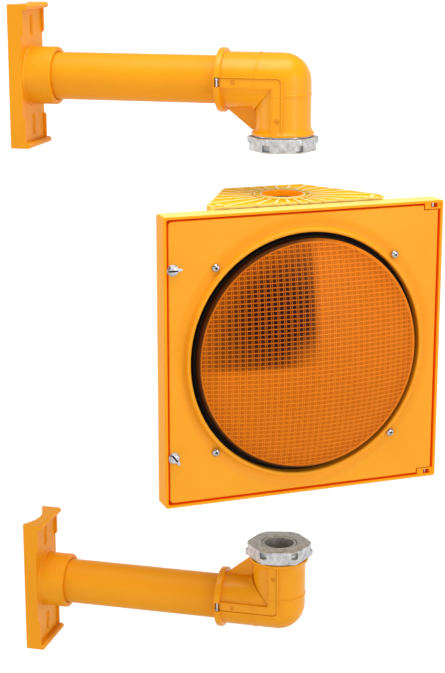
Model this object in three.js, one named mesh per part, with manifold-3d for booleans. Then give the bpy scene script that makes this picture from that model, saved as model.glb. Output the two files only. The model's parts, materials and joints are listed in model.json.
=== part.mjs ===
// Amber signal head on two mast arms, laid out apart on one swivel axis.
// Millimetres, +Z up. X = 0 is the mast side of the arms, Z = 0 is the upper tube's axis.

import * as THREE from 'three';
import { mergeVertices } from 'three/addons/utils/BufferGeometryUtils.js';
import Module from 'manifold-3d';

const wasm = await Module();
wasm.setup();

// ---- driving dimensions ----
const GAP = 0.3;
const SIDES = 24;
const WIDE_SIDES = 40;

// arms
const REACH = 338;
const TUBE_R = 29;
const TUBE_WALL = 2.5;
const FOOT = { depth: 17, half: 37.5, height: 176, pole: 57, poleDepth: 10.5 };
const LIP = { reach: 26, height: 7 };
const SIDE_RIM = { rise: 3, width: 3.5, from: 50 };
const SLOT = { at: 61, width: 10, length: 26 };
const SOCKET = { r: 35.5, end: 52 };
const ELBOW = { outer: 34, inner: 33, bore: 26, collar: 38.7, start: 78, ring: 8, foot: 64 };
const FLANGE = { r: 38, height: 9 };
const BAND = { half: 6.7, from: 29, to: 37 };
const NIPPLE = { r: 23, bore: 19, top: 46, bottom: 82 };
const WASHER = { r: 36, thick: 1.4 };
const NUT = { flats: 76, thick: 17, notch: 10, notchDeep: 8, web: 1.4 };

// head, measured from the front plane back and from the centre out
const AXIS_BACK = 79;
const HEAD_YAW = 35;
const HEAD_DROP = 319;
const LOWER_DROP = 355;
const RIM = { half: 180, tall: 177, depth: 27, wall: 3.6, floor: 24 };
const PLATE = { z: 180, wide: 112, narrow: 52, front: 27, knee: 42, back: 147 };
const RIB = { count: 36, width: 1.4, rise: 1.5, from: 37 };
const RING = { r: 35.5, bore: 25.6, spigot: 28, rise: 2.2 };
const WALL = 3;
const DOOR = { left: 174, right: 173.5, tall: 171, front: 0.5, thick: 3, skirt: 12, corner: 5 };
const OPENING = { r: 149, lip: 154.6, proud: 6, behind: 10 };
const HINGE = { x: 168, back: 6, r: 2, knuckle: 5, notchX: 153.5, notchZ: 164.8 };
const LENS = { r: 141.5, flange: 144, thick: 3, shoulder: 10, crown: 30 };
const SCREW_AT = { x: 115.7, z: 113 };
const LATCH = { x: 169, z: 114, r: 6, shaft: 2.5, camBack: 17.3 };
const SEAL = { x: 160.6, z: 161, width: 4, back: 8.7 };
const DISH = { r: 134, front: 15, vertex: 92, neck: 21, sheet: 1.5, post: 119 };

// ---- colours ----
const YELLOW = { color: 0xf2a30f, roughness: 0.35, metalness: 0.0 };
const PAINT = { color: 0xea9c0a, roughness: 0.5, metalness: 0.1 };
const ZINC = { color: 0xb4b4b6, roughness: 0.6, metalness: 0.8 };
const STEEL = { color: 0xcfcfd2, roughness: 0.3, metalness: 1.0 };
const RUBBER = { color: 0x161616, roughness: 0.8, metalness: 0.0 };
const AMBER = { color: 0xe07a10, roughness: 0.15, metalness: 0.0, transparent: true, opacity: 0.8 };
const MIRROR = { color: 0xdcdcdc, roughness: 0.1, metalness: 1.0 };
const GLASS = { color: 0xf4f4f0, roughness: 0.05, metalness: 0.0, transparent: true, opacity: 0.4 };
const CERAMIC = { color: 0xe8e4da, roughness: 0.5, metalness: 0.0 };

// ---- solids ----
function solid(geometry) {
  const g = geometry.clone();
  g.deleteAttribute('normal');
  g.deleteAttribute('uv');
  const m = mergeVertices(g, 1e-4);
  const vertProperties = Float32Array.from(m.attributes.position.array);
  const triVerts = Uint32Array.from(m.index.array);
  return new wasm.Manifold(new wasm.Mesh({ numProp: 3, vertProperties, triVerts }));
}

function box(x0, x1, y0, y1, z0, z1) {
  const g = new THREE.BoxGeometry(x1 - x0, y1 - y0, z1 - z0);
  g.translate((x0 + x1) / 2, (y0 + y1) / 2, (z0 + z1) / 2);
  return solid(g);
}

// a cylinder along one axis, between two positions on it, centred on the other two
function rod(axis, r, from, to, u = 0, v = 0, sides = SIDES) {
  const g = new THREE.CylinderGeometry(r, r, to - from, sides);
  const mid = (from + to) / 2;
  if (axis === 'x') {
    g.rotateZ(-Math.PI / 2);
    g.translate(mid, u, v);
  } else if (axis === 'y') {
    g.translate(u, mid, v);
  } else {
    g.rotateX(Math.PI / 2);
    g.translate(u, v, mid);
  }
  return solid(g);
}

function ball(r, x, y, z) {
  const g = new THREE.SphereGeometry(r, SIDES, SIDES / 2);
  g.rotateX(Math.PI / 2);
  g.translate(x, y, z);
  return solid(g);
}

// a closed profile of [radius, height] points turned about the given axis
function turned(axis, profile, sides = SIDES) {
  const points = profile.map(([r, h]) => new THREE.Vector2(r, h));
  if (THREE.ShapeUtils.area(points) < 0) {
    points.reverse();
  }
  const closed = profile[0][0] > 0 || profile[profile.length - 1][0] > 0;
  if (closed) {
    points.push(points[0].clone());
  }
  const g = new THREE.LatheGeometry(points, sides);
  if (axis === 'z') {
    g.rotateX(Math.PI / 2);
  }
  if (axis === 'x') {
    g.rotateZ(-Math.PI / 2);
  }
  return solid(g);
}

// an outline in X and Y raised along Z
function prism(outline, z0, z1) {
  const shape = new THREE.Shape(outline.map(([x, y]) => new THREE.Vector2(x, y)));
  const g = new THREE.ExtrudeGeometry(shape, { depth: z1 - z0, bevelEnabled: false });
  g.translate(0, 0, z0);
  return solid(g);
}

// an outline in X and Z, with rounded corners, raised along Y
function plate(left, right, tall, corner, y0, y1) {
  const s = new THREE.Shape();
  s.moveTo(-left + corner, -tall);
  s.lineTo(right - corner, -tall);
  s.quadraticCurveTo(right, -tall, right, -tall + corner);
  s.lineTo(right, tall - corner);
  s.quadraticCurveTo(right, tall, right - corner, tall);
  s.lineTo(-left + corner, tall);
  s.quadraticCurveTo(-left, tall, -left, tall - corner);
  s.lineTo(-left, -tall + corner);
  s.quadraticCurveTo(-left, -tall, -left + corner, -tall);
  const g = new THREE.ExtrudeGeometry(s, { depth: y1 - y0, bevelEnabled: false, curveSegments: 4 });
  g.rotateX(Math.PI / 2);
  g.translate(0, y1, 0);
  return solid(g);
}

function join(...solids) {
  return solids.reduce((a, b) => a.add(b));
}

function cut(body, ...tools) {
  return tools.reduce((a, b) => a.subtract(b), body);
}

// ---- arm pieces: the elbow's axes cross at the origin, the nipple points down ----
const SEAT = -REACH;

function footSlot(z) {
  const half = SLOT.width / 2;
  const straight = SLOT.length / 2 - half;
  const x0 = SEAT - 1;
  const x1 = SEAT + FOOT.depth + 1;
  return join(
    box(x0, x1, -half, half, z - straight, z + straight),
    rod('x', half, x0, x1, 0, z - straight, 24),
    rod('x', half, x0, x1, 0, z + straight, 24),
  );
}

function armFoot() {
  const top = FOOT.height / 2;
  const face = SEAT + FOOT.depth;
  const poleX = SEAT + FOOT.poleDepth - FOOT.pole;
  let foot = box(SEAT, face, -FOOT.half, FOOT.half, -top, top);
  for (const s of [-1, 1]) {
    const lip = [s * (top - LIP.height), s * top].sort((a, b) => a - b);
    foot = foot.add(box(SEAT, SEAT + LIP.reach, -FOOT.half, FOOT.half, ...lip));
    const run = [s * SIDE_RIM.from, s * top].sort((a, b) => a - b);
    const rise = face + SIDE_RIM.rise;
    foot = foot.add(box(SEAT, rise, -FOOT.half, -FOOT.half + SIDE_RIM.width, ...run));
    foot = foot.add(box(SEAT, rise, FOOT.half - SIDE_RIM.width, FOOT.half, ...run));
  }
  foot = foot.add(rod('x', SOCKET.r, SEAT + 8, SEAT + SOCKET.end, 0, 0));
  return cut(
    foot,
    rod('z', FOOT.pole, -top - 1, top + 1, poleX, 0),
    rod('x', TUBE_R + 0.6, SEAT + 13, SEAT + SOCKET.end + 1, 0, 0),
    rod('x', 25, SEAT - 1, SEAT + 20, 0, 0),
    footSlot(SLOT.at),
    footSlot(-SLOT.at),
  );
}

function armTube() {
  const from = SEAT + 13 + GAP;
  const to = -ELBOW.start + 44;
  return cut(
    rod('x', TUBE_R, from, to, 0, 0),
    rod('x', TUBE_R - TUBE_WALL, from - 1, to + 1, 0, 0),
  );
}

// the whole elbow casting before it is parted into two shells
function elbowBody(r) {
  const flange = turned('z', [
    [0, -ELBOW.foot],
    [FLANGE.r, -ELBOW.foot],
    [FLANGE.r, -ELBOW.foot + 3],
    [r, -ELBOW.foot + FLANGE.height],
    [0, -ELBOW.foot + FLANGE.height],
  ]);
  return join(
    rod('x', r, -ELBOW.start, 0, 0, 0),
    rod('z', r, -ELBOW.foot, 0, 0, 0),
    ball(r, 0, 0, 0),
    rod('x', ELBOW.collar, -ELBOW.start, -ELBOW.start + ELBOW.ring, 0, 0),
    rod('x', r + 0.8, -28.5, -26.5, 0, 0),
    rod('z', r + 0.8, -16, -14, 0, 0),
    flange,
  );
}

function elbowHollow() {
  return join(
    rod('x', TUBE_R + GAP, -ELBOW.start - 1, -ELBOW.start + 44 + GAP, 0, 0),
    rod('x', ELBOW.bore, -36, 0, 0, 0),
    ball(ELBOW.bore, 0, 0, 0),
    rod('z', ELBOW.bore, -NIPPLE.top + GAP, 0, 0, 0),
    rod('z', NIPPLE.r + GAP, -ELBOW.foot - 1, -NIPPLE.top + GAP, 0, 0),
  );
}

// the flat flanges that run along the parting line on both sides of the elbow
function elbowBands() {
  const along = (side) => {
    const y0 = side < 0 ? -BAND.to : BAND.from;
    const y1 = side < 0 ? -BAND.from : BAND.to;
    const end = -ELBOW.start + ELBOW.ring;
    return join(
      box(end, BAND.half, y0, y1, -BAND.half, BAND.half),
      box(-BAND.half, BAND.half, y0, y1, -ELBOW.foot + 5, BAND.half),
    );
  };
  return join(along(-1), along(1));
}

function elbowCuts() {
  const end = -ELBOW.start + ELBOW.ring;
  const holes = [
    rod('y', 2.5 + GAP, -BAND.to - 1, -BAND.from - 1, -54, 0, 24),
    rod('y', 2.5 + GAP, -BAND.to - 1, -BAND.from - 1, 0, -45, 24),
    box(-ELBOW.start + 1.5, end - 0.5, -ELBOW.collar - 1, -33.4, -6.5, 6.5),
  ];
  return join(elbowHollow(), ...holes);
}

function innerCorner(shift) {
  return box(-ELBOW.start - 5, -shift, -60, 60, -ELBOW.foot - 5, -shift);
}

function elbowOuterShell() {
  const whole = join(elbowBody(ELBOW.outer), elbowBands());
  return cut(whole, elbowCuts(), innerCorner(0));
}

function elbowInnerShell() {
  const outline = [[-68, -30], [-30, -30], [-30, -60], [-37, -60]];
  const gusset = prism(outline, -2, 2).rotate([90, 0, 0]);
  const whole = join(elbowBody(ELBOW.inner), elbowBands(), gusset);
  return cut(whole.intersect(innerCorner(GAP)), elbowCuts());
}

function elbowScrew(x, z) {
  const end = -BAND.to;
  const body = rod('y', 2.5, end - 0.4, -BAND.from - 1.5, x, z, 20);
  return cut(body, rod('y', 1.2, end - 1, end + 1, x, z, 12));
}

function collarScrew() {
  const x = -ELBOW.start + ELBOW.ring / 2;
  return join(rod('z', 1.5, -6, 6, x, -36.2, 16), rod('z', 2.5, 3.5, 6, x, -36.2, 16));
}

function nipple() {
  const thread = [[NIPPLE.bore, -NIPPLE.bottom], [NIPPLE.r - 1, -NIPPLE.bottom]];
  thread.push([NIPPLE.r, -NIPPLE.bottom + 1], [NIPPLE.r, -NIPPLE.top], [NIPPLE.bore, -NIPPLE.top]);
  return turned('z', thread);
}

function washer() {
  const top = -ELBOW.foot - GAP;
  return cut(
    rod('z', WASHER.r, top - WASHER.thick, top, 0, 0),
    rod('z', NIPPLE.r + GAP, top - 5, top + 1, 0, 0),
  );
}

const NUT_TOP = -ELBOW.foot - WASHER.thick - 2 * GAP;

function nut() {
  const bottom = NUT_TOP - NUT.thick;
  const corner = NUT.flats / 2 / Math.cos(Math.PI / 6);
  let body = rod('z', corner, bottom, NUT_TOP, 0, 0, 6);
  const chamfer = turned('z', [
    [0, bottom],
    [corner - 3, bottom],
    [corner, bottom + 3],
    [corner, NUT_TOP],
    [0, NUT_TOP],
  ]);
  body = body.intersect(chamfer);
  body = body.subtract(rod('z', NIPPLE.r + GAP, bottom - 1, NUT_TOP + 1, 0, 0));
  const z0 = bottom + NUT.web;
  const pocket = box(corner - 8, corner + 2, -NUT.notch / 2, NUT.notch / 2, z0, z0 + NUT.notchDeep);
  for (let i = 0; i < 6; i += 1) {
    body = body.subtract(pocket.rotate([0, 0, 30 + 60 * i]));
  }
  return body.rotate([0, 0, 12]);
}

// ---- head pieces: the swivel axis is Z, the front plane is at -AXIS_BACK, depths run back ----
const F = -AXIS_BACK;

function columnOutline(inset) {
  const slope = Math.hypot(PLATE.wide - PLATE.narrow, PLATE.back - PLATE.knee);
  const side = inset * slope / (PLATE.back - PLATE.knee);
  const wide = PLATE.wide - inset;
  const back = PLATE.back - inset;
  const taper = (PLATE.wide - PLATE.narrow) / (PLATE.back - PLATE.knee);
  const edge = (depth) => PLATE.wide - side - (depth - PLATE.knee) * taper;
  const knee = PLATE.knee + (inset - side) / taper;
  const front = inset > 0 ? RIM.floor - 1 : PLATE.front - 1;
  return [
    [-wide, F + front],
    [wide, F + front],
    [wide, F + knee],
    [edge(back), F + back],
    [-edge(back), F + back],
    [-wide, F + knee],
  ];
}

function bowl(inset) {
  const back = 118 - inset;
  const front = inset > 0 ? RIM.floor - 1 : PLATE.front - 1;
  return turned('y', [
    [0, F + front],
    [158 - inset, F + front],
    [150 - inset, F + 60],
    [96 - inset, F + 112 - inset],
    [88 - inset, F + back],
    [0, F + back],
  ], WIDE_SIDES);
}

function plateRibs() {
  let ribs = rod('z', RIB.from + 2, PLATE.z - 1, PLATE.z + RIB.rise, 0, 0);
  for (let i = 0; i < RIB.count; i += 1) {
    const rib = box(RIB.from, 200, -RIB.width / 2, RIB.width / 2, PLATE.z - 1, PLATE.z + RIB.rise);
    ribs = ribs.add(rib.rotate([0, 0, (360 / RIB.count) * i]));
  }
  ribs = ribs.intersect(prism(columnOutline(0), PLATE.z - 1, PLATE.z + RIB.rise));
  const edge = prism(columnOutline(0), PLATE.z - 1, PLATE.z + RIB.rise)
    .subtract(prism(columnOutline(2.5), PLATE.z - 2, PLATE.z + RIB.rise + 1)
      .subtract(box(-200, 200, F, F + PLATE.front + 2, 0, 300)));
  const corners = [-1, 1].map((s) => (
    rod('z', 3.6, PLATE.z - 1, PLATE.z + RIB.rise + 0.6, s * 100, F + 33, 16)
  ));
  return join(ribs, edge, ...corners).subtract(rod('z', RIB.from, 0, 300, 0, 0));
}

function housing() {
  const z = PLATE.z;
  let shell = join(
    box(-RIM.half, RIM.half, F, F + RIM.depth, -RIM.tall, RIM.tall),
    bowl(0),
    prism(columnOutline(0), -z, z),
  );
  const w = RIM.wall;
  const tall = RIM.tall - w;
  shell = cut(
    shell,
    box(-RIM.half + w, RIM.half - w, F - 1, F + RIM.floor, -tall, tall),
    bowl(WALL),
    prism(columnOutline(WALL), -z + WALL, z - WALL),
  );
  const ribs = plateRibs();
  shell = join(shell, ribs, ribs.mirror([0, 0, 1]), sealRib(), hingeLugs(), catches(), posts());
  return cut(
    shell,
    rod('z', RING.spigot + GAP, -z - 9, z + 9, 0, 0),
    rod('z', HINGE.r + GAP, -z + 4, z - 4, HINGE.x, F + HINGE.back, 20),
  );
}

// the upright edge inside the rim that the door's seal presses on;
// it stays inboard of the door's skirt, which swings in past the hinge line
function sealRib() {
  const x = SEAL.x;
  const z = SEAL.z;
  return cut(
    plate(x, x, z, 4, F + SEAL.back + GAP, F + RIM.floor + 1),
    plate(x - 2.5, x - 2.5, z - 2.5, 4, F, F + RIM.floor + 2),
  );
}

// the block in each of the door's corner notches, with a window on the hinge pin
function hingeLugs() {
  const x0 = HINGE.notchX + 1.8;
  const x1 = RIM.half - RIM.wall + 0.5;
  const z0 = HINGE.notchZ + 1;
  const z1 = RIM.tall - RIM.wall + 0.5;
  const lug = cut(
    box(x0, x1, F + 0.9, F + 11, z0, z1),
    box(HINGE.x - 4.5, HINGE.x + 4.5, F, F + 12, z0 + 2, z1 + 1),
  );
  return join(lug, lug.mirror([0, 0, 1]));
}

function catches() {
  const x0 = -RIM.half + 1;
  const x1 = -LATCH.x - 3.5;
  return join(...[-1, 1].map((s) => (
    box(x0, x1, F + 13, F + LATCH.camBack - 0.5, s * LATCH.z - 6, s * LATCH.z + 6)
  )));
}

function posts() {
  const spots = [[-1, -1], [1, -1], [1, 1], [-1, 1]];
  return join(...spots.map(([sx, sz]) => (
    rod('y', 4.5, F + DISH.front + DISH.sheet + GAP, F + RIM.floor + 1, sx * DISH.post, sz * DISH.post, 16)
  )));
}

function door() {
  const front = F + DOOR.front;
  const back = F + DOOR.skirt;
  const lip = [[OPENING.r, F + OPENING.behind], [OPENING.r, F - OPENING.proud]];
  lip.push([OPENING.lip, F - OPENING.proud], [OPENING.lip + 1.5, front], [OPENING.lip, F + OPENING.behind]);
  let leaf = plate(DOOR.left, DOOR.right, DOOR.tall, DOOR.corner, front, back);
  const inside = plate(DOOR.left - 2.5, DOOR.right - 2.5, DOOR.tall - 2.5, 3, front + DOOR.thick, back + 1);
  leaf = cut(leaf, inside, rod('y', OPENING.r + 2, F - 1, F + 5, 0, 0, WIDE_SIDES));
  leaf = leaf.add(turned('y', lip, WIDE_SIDES));
  const notch = [HINGE.notchX, DOOR.right + 1, F - 1, F + 13, HINGE.notchZ, DOOR.tall + 1];
  const knuckle = rod('z', HINGE.knuckle, 148, HINGE.notchZ, HINGE.x, F + HINGE.back, 24);
  leaf = cut(leaf, box(...notch), box(...notch).mirror([0, 0, 1]));
  leaf = join(leaf, knuckle, knuckle.mirror([0, 0, 1]));
  leaf = leaf.subtract(rod('z', HINGE.r + GAP, -180, 180, HINGE.x, F + HINGE.back, 20)
    .subtract(box(160, 176, F - 5, F + 15, -147, 147)));
  for (const sz of [-1, 1]) {
    leaf = leaf.subtract(rod('y', LATCH.shaft + GAP, F - 2, F + 5, -LATCH.x, sz * LATCH.z, 20));
    for (const sx of [-1, 1]) {
      leaf = leaf.subtract(rod('y', 2 + GAP, F - 2, F + 5, sx * SCREW_AT.x, sz * SCREW_AT.z, 16));
    }
  }
  return leaf;
}

function doorSeal() {
  const x = SEAL.x + 0.7;
  const z = SEAL.z + 0.7;
  const y0 = F + DOOR.front + DOOR.thick + GAP;
  const y1 = F + SEAL.back;
  const inset = SEAL.width;
  return cut(
    plate(x, x, z - 1, 4, y0, y1),
    plate(x - inset, x - inset, z - inset - 1, 3, y0 - 1, y1 + 1),
  );
}

function lens() {
  const r = LENS.r;
  const t = LENS.thick;
  const flangeBack = F + GAP + t;
  const s = LENS.shoulder;
  const c = LENS.crown;
  const arc = (share, rim, shoulder, crown) => (
    [rim * share, F - shoulder - (crown - shoulder) * (1 - share * share)]
  );
  const shares = [1, 0.85, 0.65, 0.35];
  const outside = shares.map((k) => arc(k, r, s, c));
  const inside = shares.map((k) => arc(k, r - t, s - t, c - t)).reverse();
  return turned('y', [
    [0, F - c + t],
    ...inside,
    [r - t, flangeBack],
    [LENS.flange, flangeBack],
    [LENS.flange, F + GAP],
    [r, F + GAP],
    ...outside,
    [0, F - c],
  ], WIDE_SIDES);
}

function lensGasket() {
  const r = OPENING.r - GAP;
  return turned('y', [
    [LENS.r + GAP, F - 3],
    [r, F - 3],
    [r, F + 8],
    [LENS.flange + GAP, F + 8],
    [LENS.flange + GAP, F],
    [LENS.r + GAP, F],
  ], WIDE_SIDES);
}

function lensScrew(sx, sz) {
  const x = sx * SCREW_AT.x;
  const z = sz * SCREW_AT.z;
  const head = turned('y', [[0, 0], [5, 0], [5, -1.2], [3.8, -2.7], [0, -3.3]], 16)
    .translate([x, F + DOOR.front - GAP, z]);
  const cross = join(
    box(x - 2.4, x + 2.4, F - 5, F - 1.6, z - 0.5, z + 0.5),
    box(x - 0.5, x + 0.5, F - 5, F - 1.6, z - 2.4, z + 2.4),
  );
  return cut(join(head, rod('y', 2, F - 0.2, F + 12.5, x, z, 16)), cross);
}

// a bar behind the door that holds the lens in its gasket
function lensClamp(sx, sz) {
  const turn = Math.atan2(sz * SCREW_AT.z, sx * SCREW_AT.x) * 180 / Math.PI;
  const reach = Math.hypot(SCREW_AT.x, SCREW_AT.z);
  const bar = join(
    box(LENS.r - 6, reach + 5, F + 10.2, F + 11.8, -6, 6),
    box(LENS.r - 4, LENS.r - 1, F + 3.9, F + 10.2, -6, 6),
  ).subtract(rod('y', 2 + GAP, F, F + 20, reach, 0, 16));
  return bar.rotate([0, -turn, 0]);
}

function latch(sz) {
  const x = -LATCH.x;
  const z = sz * LATCH.z;
  const head = rod('y', LATCH.r, F - 4.4, F - 1.2, x, z, 24);
  const slot = box(x - 7, x + 7, F - 5, F - 3, z - 0.7, z + 0.7);
  const turn = sz > 0 ? 0 : 45;
  const lever = join(
    rod('y', LATCH.r + 1, F - 1.2, F + DOOR.front - GAP, 0, 0, 24),
    box(0, 12, F - 1.2, F + DOOR.front - GAP, -2, 2),
  ).rotate([0, turn, 0]).translate([x, 0, z]);
  const shaft = rod('y', LATCH.shaft, F - 2, F + LATCH.camBack + 2.6, x, z, 20);
  return join(head.subtract(slot), lever, shaft);
}

// the tongue rests upright, upper one down and lower one up, and turns in behind the catch
function latchCam(sz) {
  const y0 = F + LATCH.camBack;
  const tongue = join(
    box(-2.2, 2.2, y0, y0 + 2, ...(sz > 0 ? [-6.8, 0] : [0, 6.8])),
    rod('y', 4, y0, y0 + 2, 0, 0, 20),
  ).subtract(rod('y', LATCH.shaft + 0.05, y0 - 1, y0 + 3, 0, 0, 20));
  return tongue.translate([-LATCH.x, 0, sz * LATCH.z]);
}

function hingePin(sz) {
  const z = sz > 0 ? [148.5, 175.6] : [-175.6, -148.5];
  return rod('z', HINGE.r, ...z, HINGE.x, F + HINGE.back, 16);
}

function indexRing() {
  const z = PLATE.z;
  return turned('z', [
    [RING.bore, z - WALL - 2],
    [RING.spigot, z - WALL - 2],
    [RING.spigot, z + GAP],
    [RING.r, z + GAP],
    [RING.r, z + GAP + RING.rise - 0.8],
    [RING.r - 0.8, z + GAP + RING.rise],
    [RING.bore, z + GAP + RING.rise],
  ]);
}

function reflector() {
  const depth = DISH.vertex - DISH.front;
  const at = (r) => F + DISH.vertex - depth * (r * r) / (DISH.r * DISH.r);
  const radii = [DISH.neck, 50, 80, 108, DISH.r];
  const back = radii.map((r) => [r + DISH.sheet, at(r) + DISH.sheet]);
  const front = radii.map((r) => [r, at(r)]).reverse();
  back[back.length - 1] = [DISH.r + DISH.sheet, F + DISH.front + DISH.sheet];
  const dish = turned('y', [
    ...back,
    [147, F + DISH.front + DISH.sheet],
    [147, F + DISH.front],
    ...front,
  ], WIDE_SIDES);
  const ears = [45, 135, 225, 315].map((a) => (
    box(145, 176, F + DISH.front, F + DISH.front + DISH.sheet, -7, 7).rotate([0, a, 0])
  ));
  const holes = [-1, 1].flatMap((sx) => [-1, 1].map((sz) => (
    rod('y', 2 + GAP, F, F + 40, sx * DISH.post, sz * DISH.post, 16)
  )));
  return cut(join(dish, ...ears), ...holes);
}

function dishScrew(sx, sz) {
  const x = sx * DISH.post;
  const z = sz * DISH.post;
  const top = F + DISH.front - GAP;
  return join(rod('y', 3.6, top - 1.8, top, x, z, 16), rod('y', 2, top - 1, F + DISH.front + 1.4, x, z, 16));
}

function lampHolder() {
  const y = F + DISH.vertex;
  return turned('y', [
    [14.4, y - 4],
    [18, y - 4],
    [18, y + 4],
    [27, y + 4],
    [27, y + 7],
    [20, y + 7],
    [20, y + 34],
    [0, y + 34],
    [0, y + 30],
    [14.4, y + 30],
  ], 24);
}

function bulbGlass() {
  const y = F + DISH.vertex - 4;
  return turned('y', [
    [0, y - 62],
    [14, y - 59],
    [24, y - 50],
    [29, y - 36],
    [25, y - 21],
    [15, y - 7],
    [13, y + 2],
    [0, y + 2],
  ], 24);
}

function bulbBase() {
  const y = F + DISH.vertex - 2 + GAP;
  return turned('y', [[0, y], [13.5, y], [13.5, y + 24], [6, y + 28], [0, y + 28]], 24);
}

function terminalBlock() {
  const y1 = F + PLATE.back - WALL - GAP;
  let block = box(-36, 36, y1 - 16, y1, -96, -76);
  for (let i = -2; i <= 2; i += 1) {
    block = block.subtract(rod('y', 3.2, y1 - 17, y1 - 8, i * 13, -86, 16));
    block = block.subtract(box(i * 13 - 2.6, i * 13 + 2.6, y1 - 11, y1 - 5, -97, -92));
  }
  return block;
}

// ---- assembly ----
function mesh(name, body, look) {
  const { vertProperties, triVerts } = body.getMesh();
  const g = new THREE.BufferGeometry();
  g.setAttribute('position', new THREE.BufferAttribute(Float32Array.from(vertProperties), 3));
  g.setIndex(new THREE.BufferAttribute(Uint32Array.from(triVerts), 1));
  g.computeVertexNormals();
  const item = new THREE.Mesh(g, new THREE.MeshStandardMaterial(look));
  item.name = name;
  return item;
}

// the lower arm is the upper one turned over, with its nipple pointing up
function arm(side, turnedOver) {
  const group = new THREE.Group();
  const add = (name, body, look) => {
    const placed = turnedOver ? body.mirror([0, 0, 1]) : body;
    group.add(mesh(`${side}_${name}`, placed, look));
  };
  add('foot', armFoot(), PAINT);
  add('tube', armTube(), PAINT);
  add('elbow_outer', elbowOuterShell(), YELLOW);
  add('elbow_inner', elbowInnerShell(), YELLOW);
  add('elbow_screw_1', elbowScrew(-54, 0), YELLOW);
  add('elbow_screw_2', elbowScrew(0, -45), YELLOW);
  add('collar_screw', collarScrew(), STEEL);
  add('nipple', nipple(), ZINC);
  add('washer', washer(), STEEL);
  add('nut', nut(), ZINC);
  return group;
}

function head() {
  const group = new THREE.Group();
  const add = (name, body, look) => group.add(mesh(name, body, look));
  const corners = [[-1, 1], [1, 1], [-1, -1], [1, -1]];
  add('housing', housing(), YELLOW);
  add('door', door(), YELLOW);
  add('door_seal', doorSeal(), RUBBER);
  add('lens', lens(), AMBER);
  add('lens_gasket', lensGasket(), RUBBER);
  corners.forEach(([sx, sz], i) => {
    add(`lens_screw_${i + 1}`, lensScrew(sx, sz), STEEL);
    add(`lens_clamp_${i + 1}`, lensClamp(sx, sz), STEEL);
    add(`reflector_screw_${i + 1}`, dishScrew(sx, sz), STEEL);
  });
  add('latch_upper', latch(1), STEEL);
  add('latch_lower', latch(-1), STEEL);
  add('latch_cam_upper', latchCam(1), STEEL);
  add('latch_cam_lower', latchCam(-1), STEEL);
  add('hinge_pin_upper', hingePin(1), STEEL);
  add('hinge_pin_lower', hingePin(-1), STEEL);
  add('index_ring_top', indexRing(), YELLOW);
  add('index_ring_bottom', indexRing().mirror([0, 0, 1]), YELLOW);
  add('reflector', reflector(), MIRROR);
  add('lamp_holder', lampHolder(), CERAMIC);
  add('bulb_glass', bulbGlass(), GLASS);
  add('bulb_base', bulbBase(), STEEL);
  add('terminal_block', terminalBlock(), CERAMIC);
  return group;
}

const part = new THREE.Group();

const upperArm = arm('upper', false);
upperArm.position.set(REACH, 0, 0);
part.add(upperArm);

const signalHead = head();
signalHead.position.set(REACH, 0, -HEAD_DROP);
signalHead.rotation.z = THREE.MathUtils.degToRad(HEAD_YAW);
part.add(signalHead);

const lowerArm = arm('lower', true);
lowerArm.position.set(REACH, 0, -HEAD_DROP - LOWER_DROP);
part.add(lowerArm);

export default part;
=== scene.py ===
"""Amber signal head between two mast arms: the finished pieces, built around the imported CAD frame.

Shapes are made in local millimetres and placed by one matrix for each arm and one for the head.
In an arm the elbow's axes cross at the origin; in the head the swivel axis is Z and depths run
back along +Y from the front plane.
"""
import json
import math

import bmesh
import bpy
from mathutils import Matrix, Vector, noise


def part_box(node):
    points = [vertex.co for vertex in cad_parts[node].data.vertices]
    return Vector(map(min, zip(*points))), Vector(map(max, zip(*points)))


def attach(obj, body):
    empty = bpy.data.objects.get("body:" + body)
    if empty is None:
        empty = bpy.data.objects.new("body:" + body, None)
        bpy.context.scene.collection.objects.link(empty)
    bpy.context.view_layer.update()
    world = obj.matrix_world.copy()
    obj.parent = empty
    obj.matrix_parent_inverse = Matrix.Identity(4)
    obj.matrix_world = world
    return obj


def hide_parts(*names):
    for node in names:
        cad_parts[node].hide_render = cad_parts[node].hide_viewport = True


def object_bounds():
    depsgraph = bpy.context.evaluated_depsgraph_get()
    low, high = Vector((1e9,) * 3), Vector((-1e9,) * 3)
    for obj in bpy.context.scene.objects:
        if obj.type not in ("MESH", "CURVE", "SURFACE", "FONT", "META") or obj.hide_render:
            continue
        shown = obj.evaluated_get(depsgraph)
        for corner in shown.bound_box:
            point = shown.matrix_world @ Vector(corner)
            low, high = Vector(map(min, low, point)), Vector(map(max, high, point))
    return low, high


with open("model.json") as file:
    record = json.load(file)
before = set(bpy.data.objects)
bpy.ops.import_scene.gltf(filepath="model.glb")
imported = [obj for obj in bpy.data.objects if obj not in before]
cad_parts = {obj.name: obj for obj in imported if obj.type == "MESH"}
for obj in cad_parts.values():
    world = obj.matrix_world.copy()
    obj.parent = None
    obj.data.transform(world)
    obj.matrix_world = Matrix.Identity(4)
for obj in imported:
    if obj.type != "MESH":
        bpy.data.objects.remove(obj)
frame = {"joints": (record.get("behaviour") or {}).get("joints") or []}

cad_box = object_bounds()

# ---- places, from the frame ----
MM = 0.001
JOINTS = {joint["name"]: joint for joint in frame["joints"]}
AXIS_X = JOINTS["head_aim"]["pos_m"][0]
LATCH_AXIS = JOINTS["latch_upper_turn"]["axis"]
YAW = math.atan2(-LATCH_AXIS[0], LATCH_AXIS[1])


def middle(node):
    low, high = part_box(node)
    return (low + high) / 2


def place_at(height, turn=0.0, flip=1.0):
    """Local millimetres to the frame's metres, on the swivel axis at one height."""
    size = Matrix.Diagonal((MM, MM, MM * flip, 1.0))
    return Matrix.Translation((AXIS_X, 0, height)) @ Matrix.Rotation(turn, 4, "Z") @ size


HEAD = place_at(middle("housing").z, YAW)
ARMS = {
    "upper": place_at(middle("upper_tube").z),
    "lower": place_at(middle("lower_tube").z, flip=-1.0),
}

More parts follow.
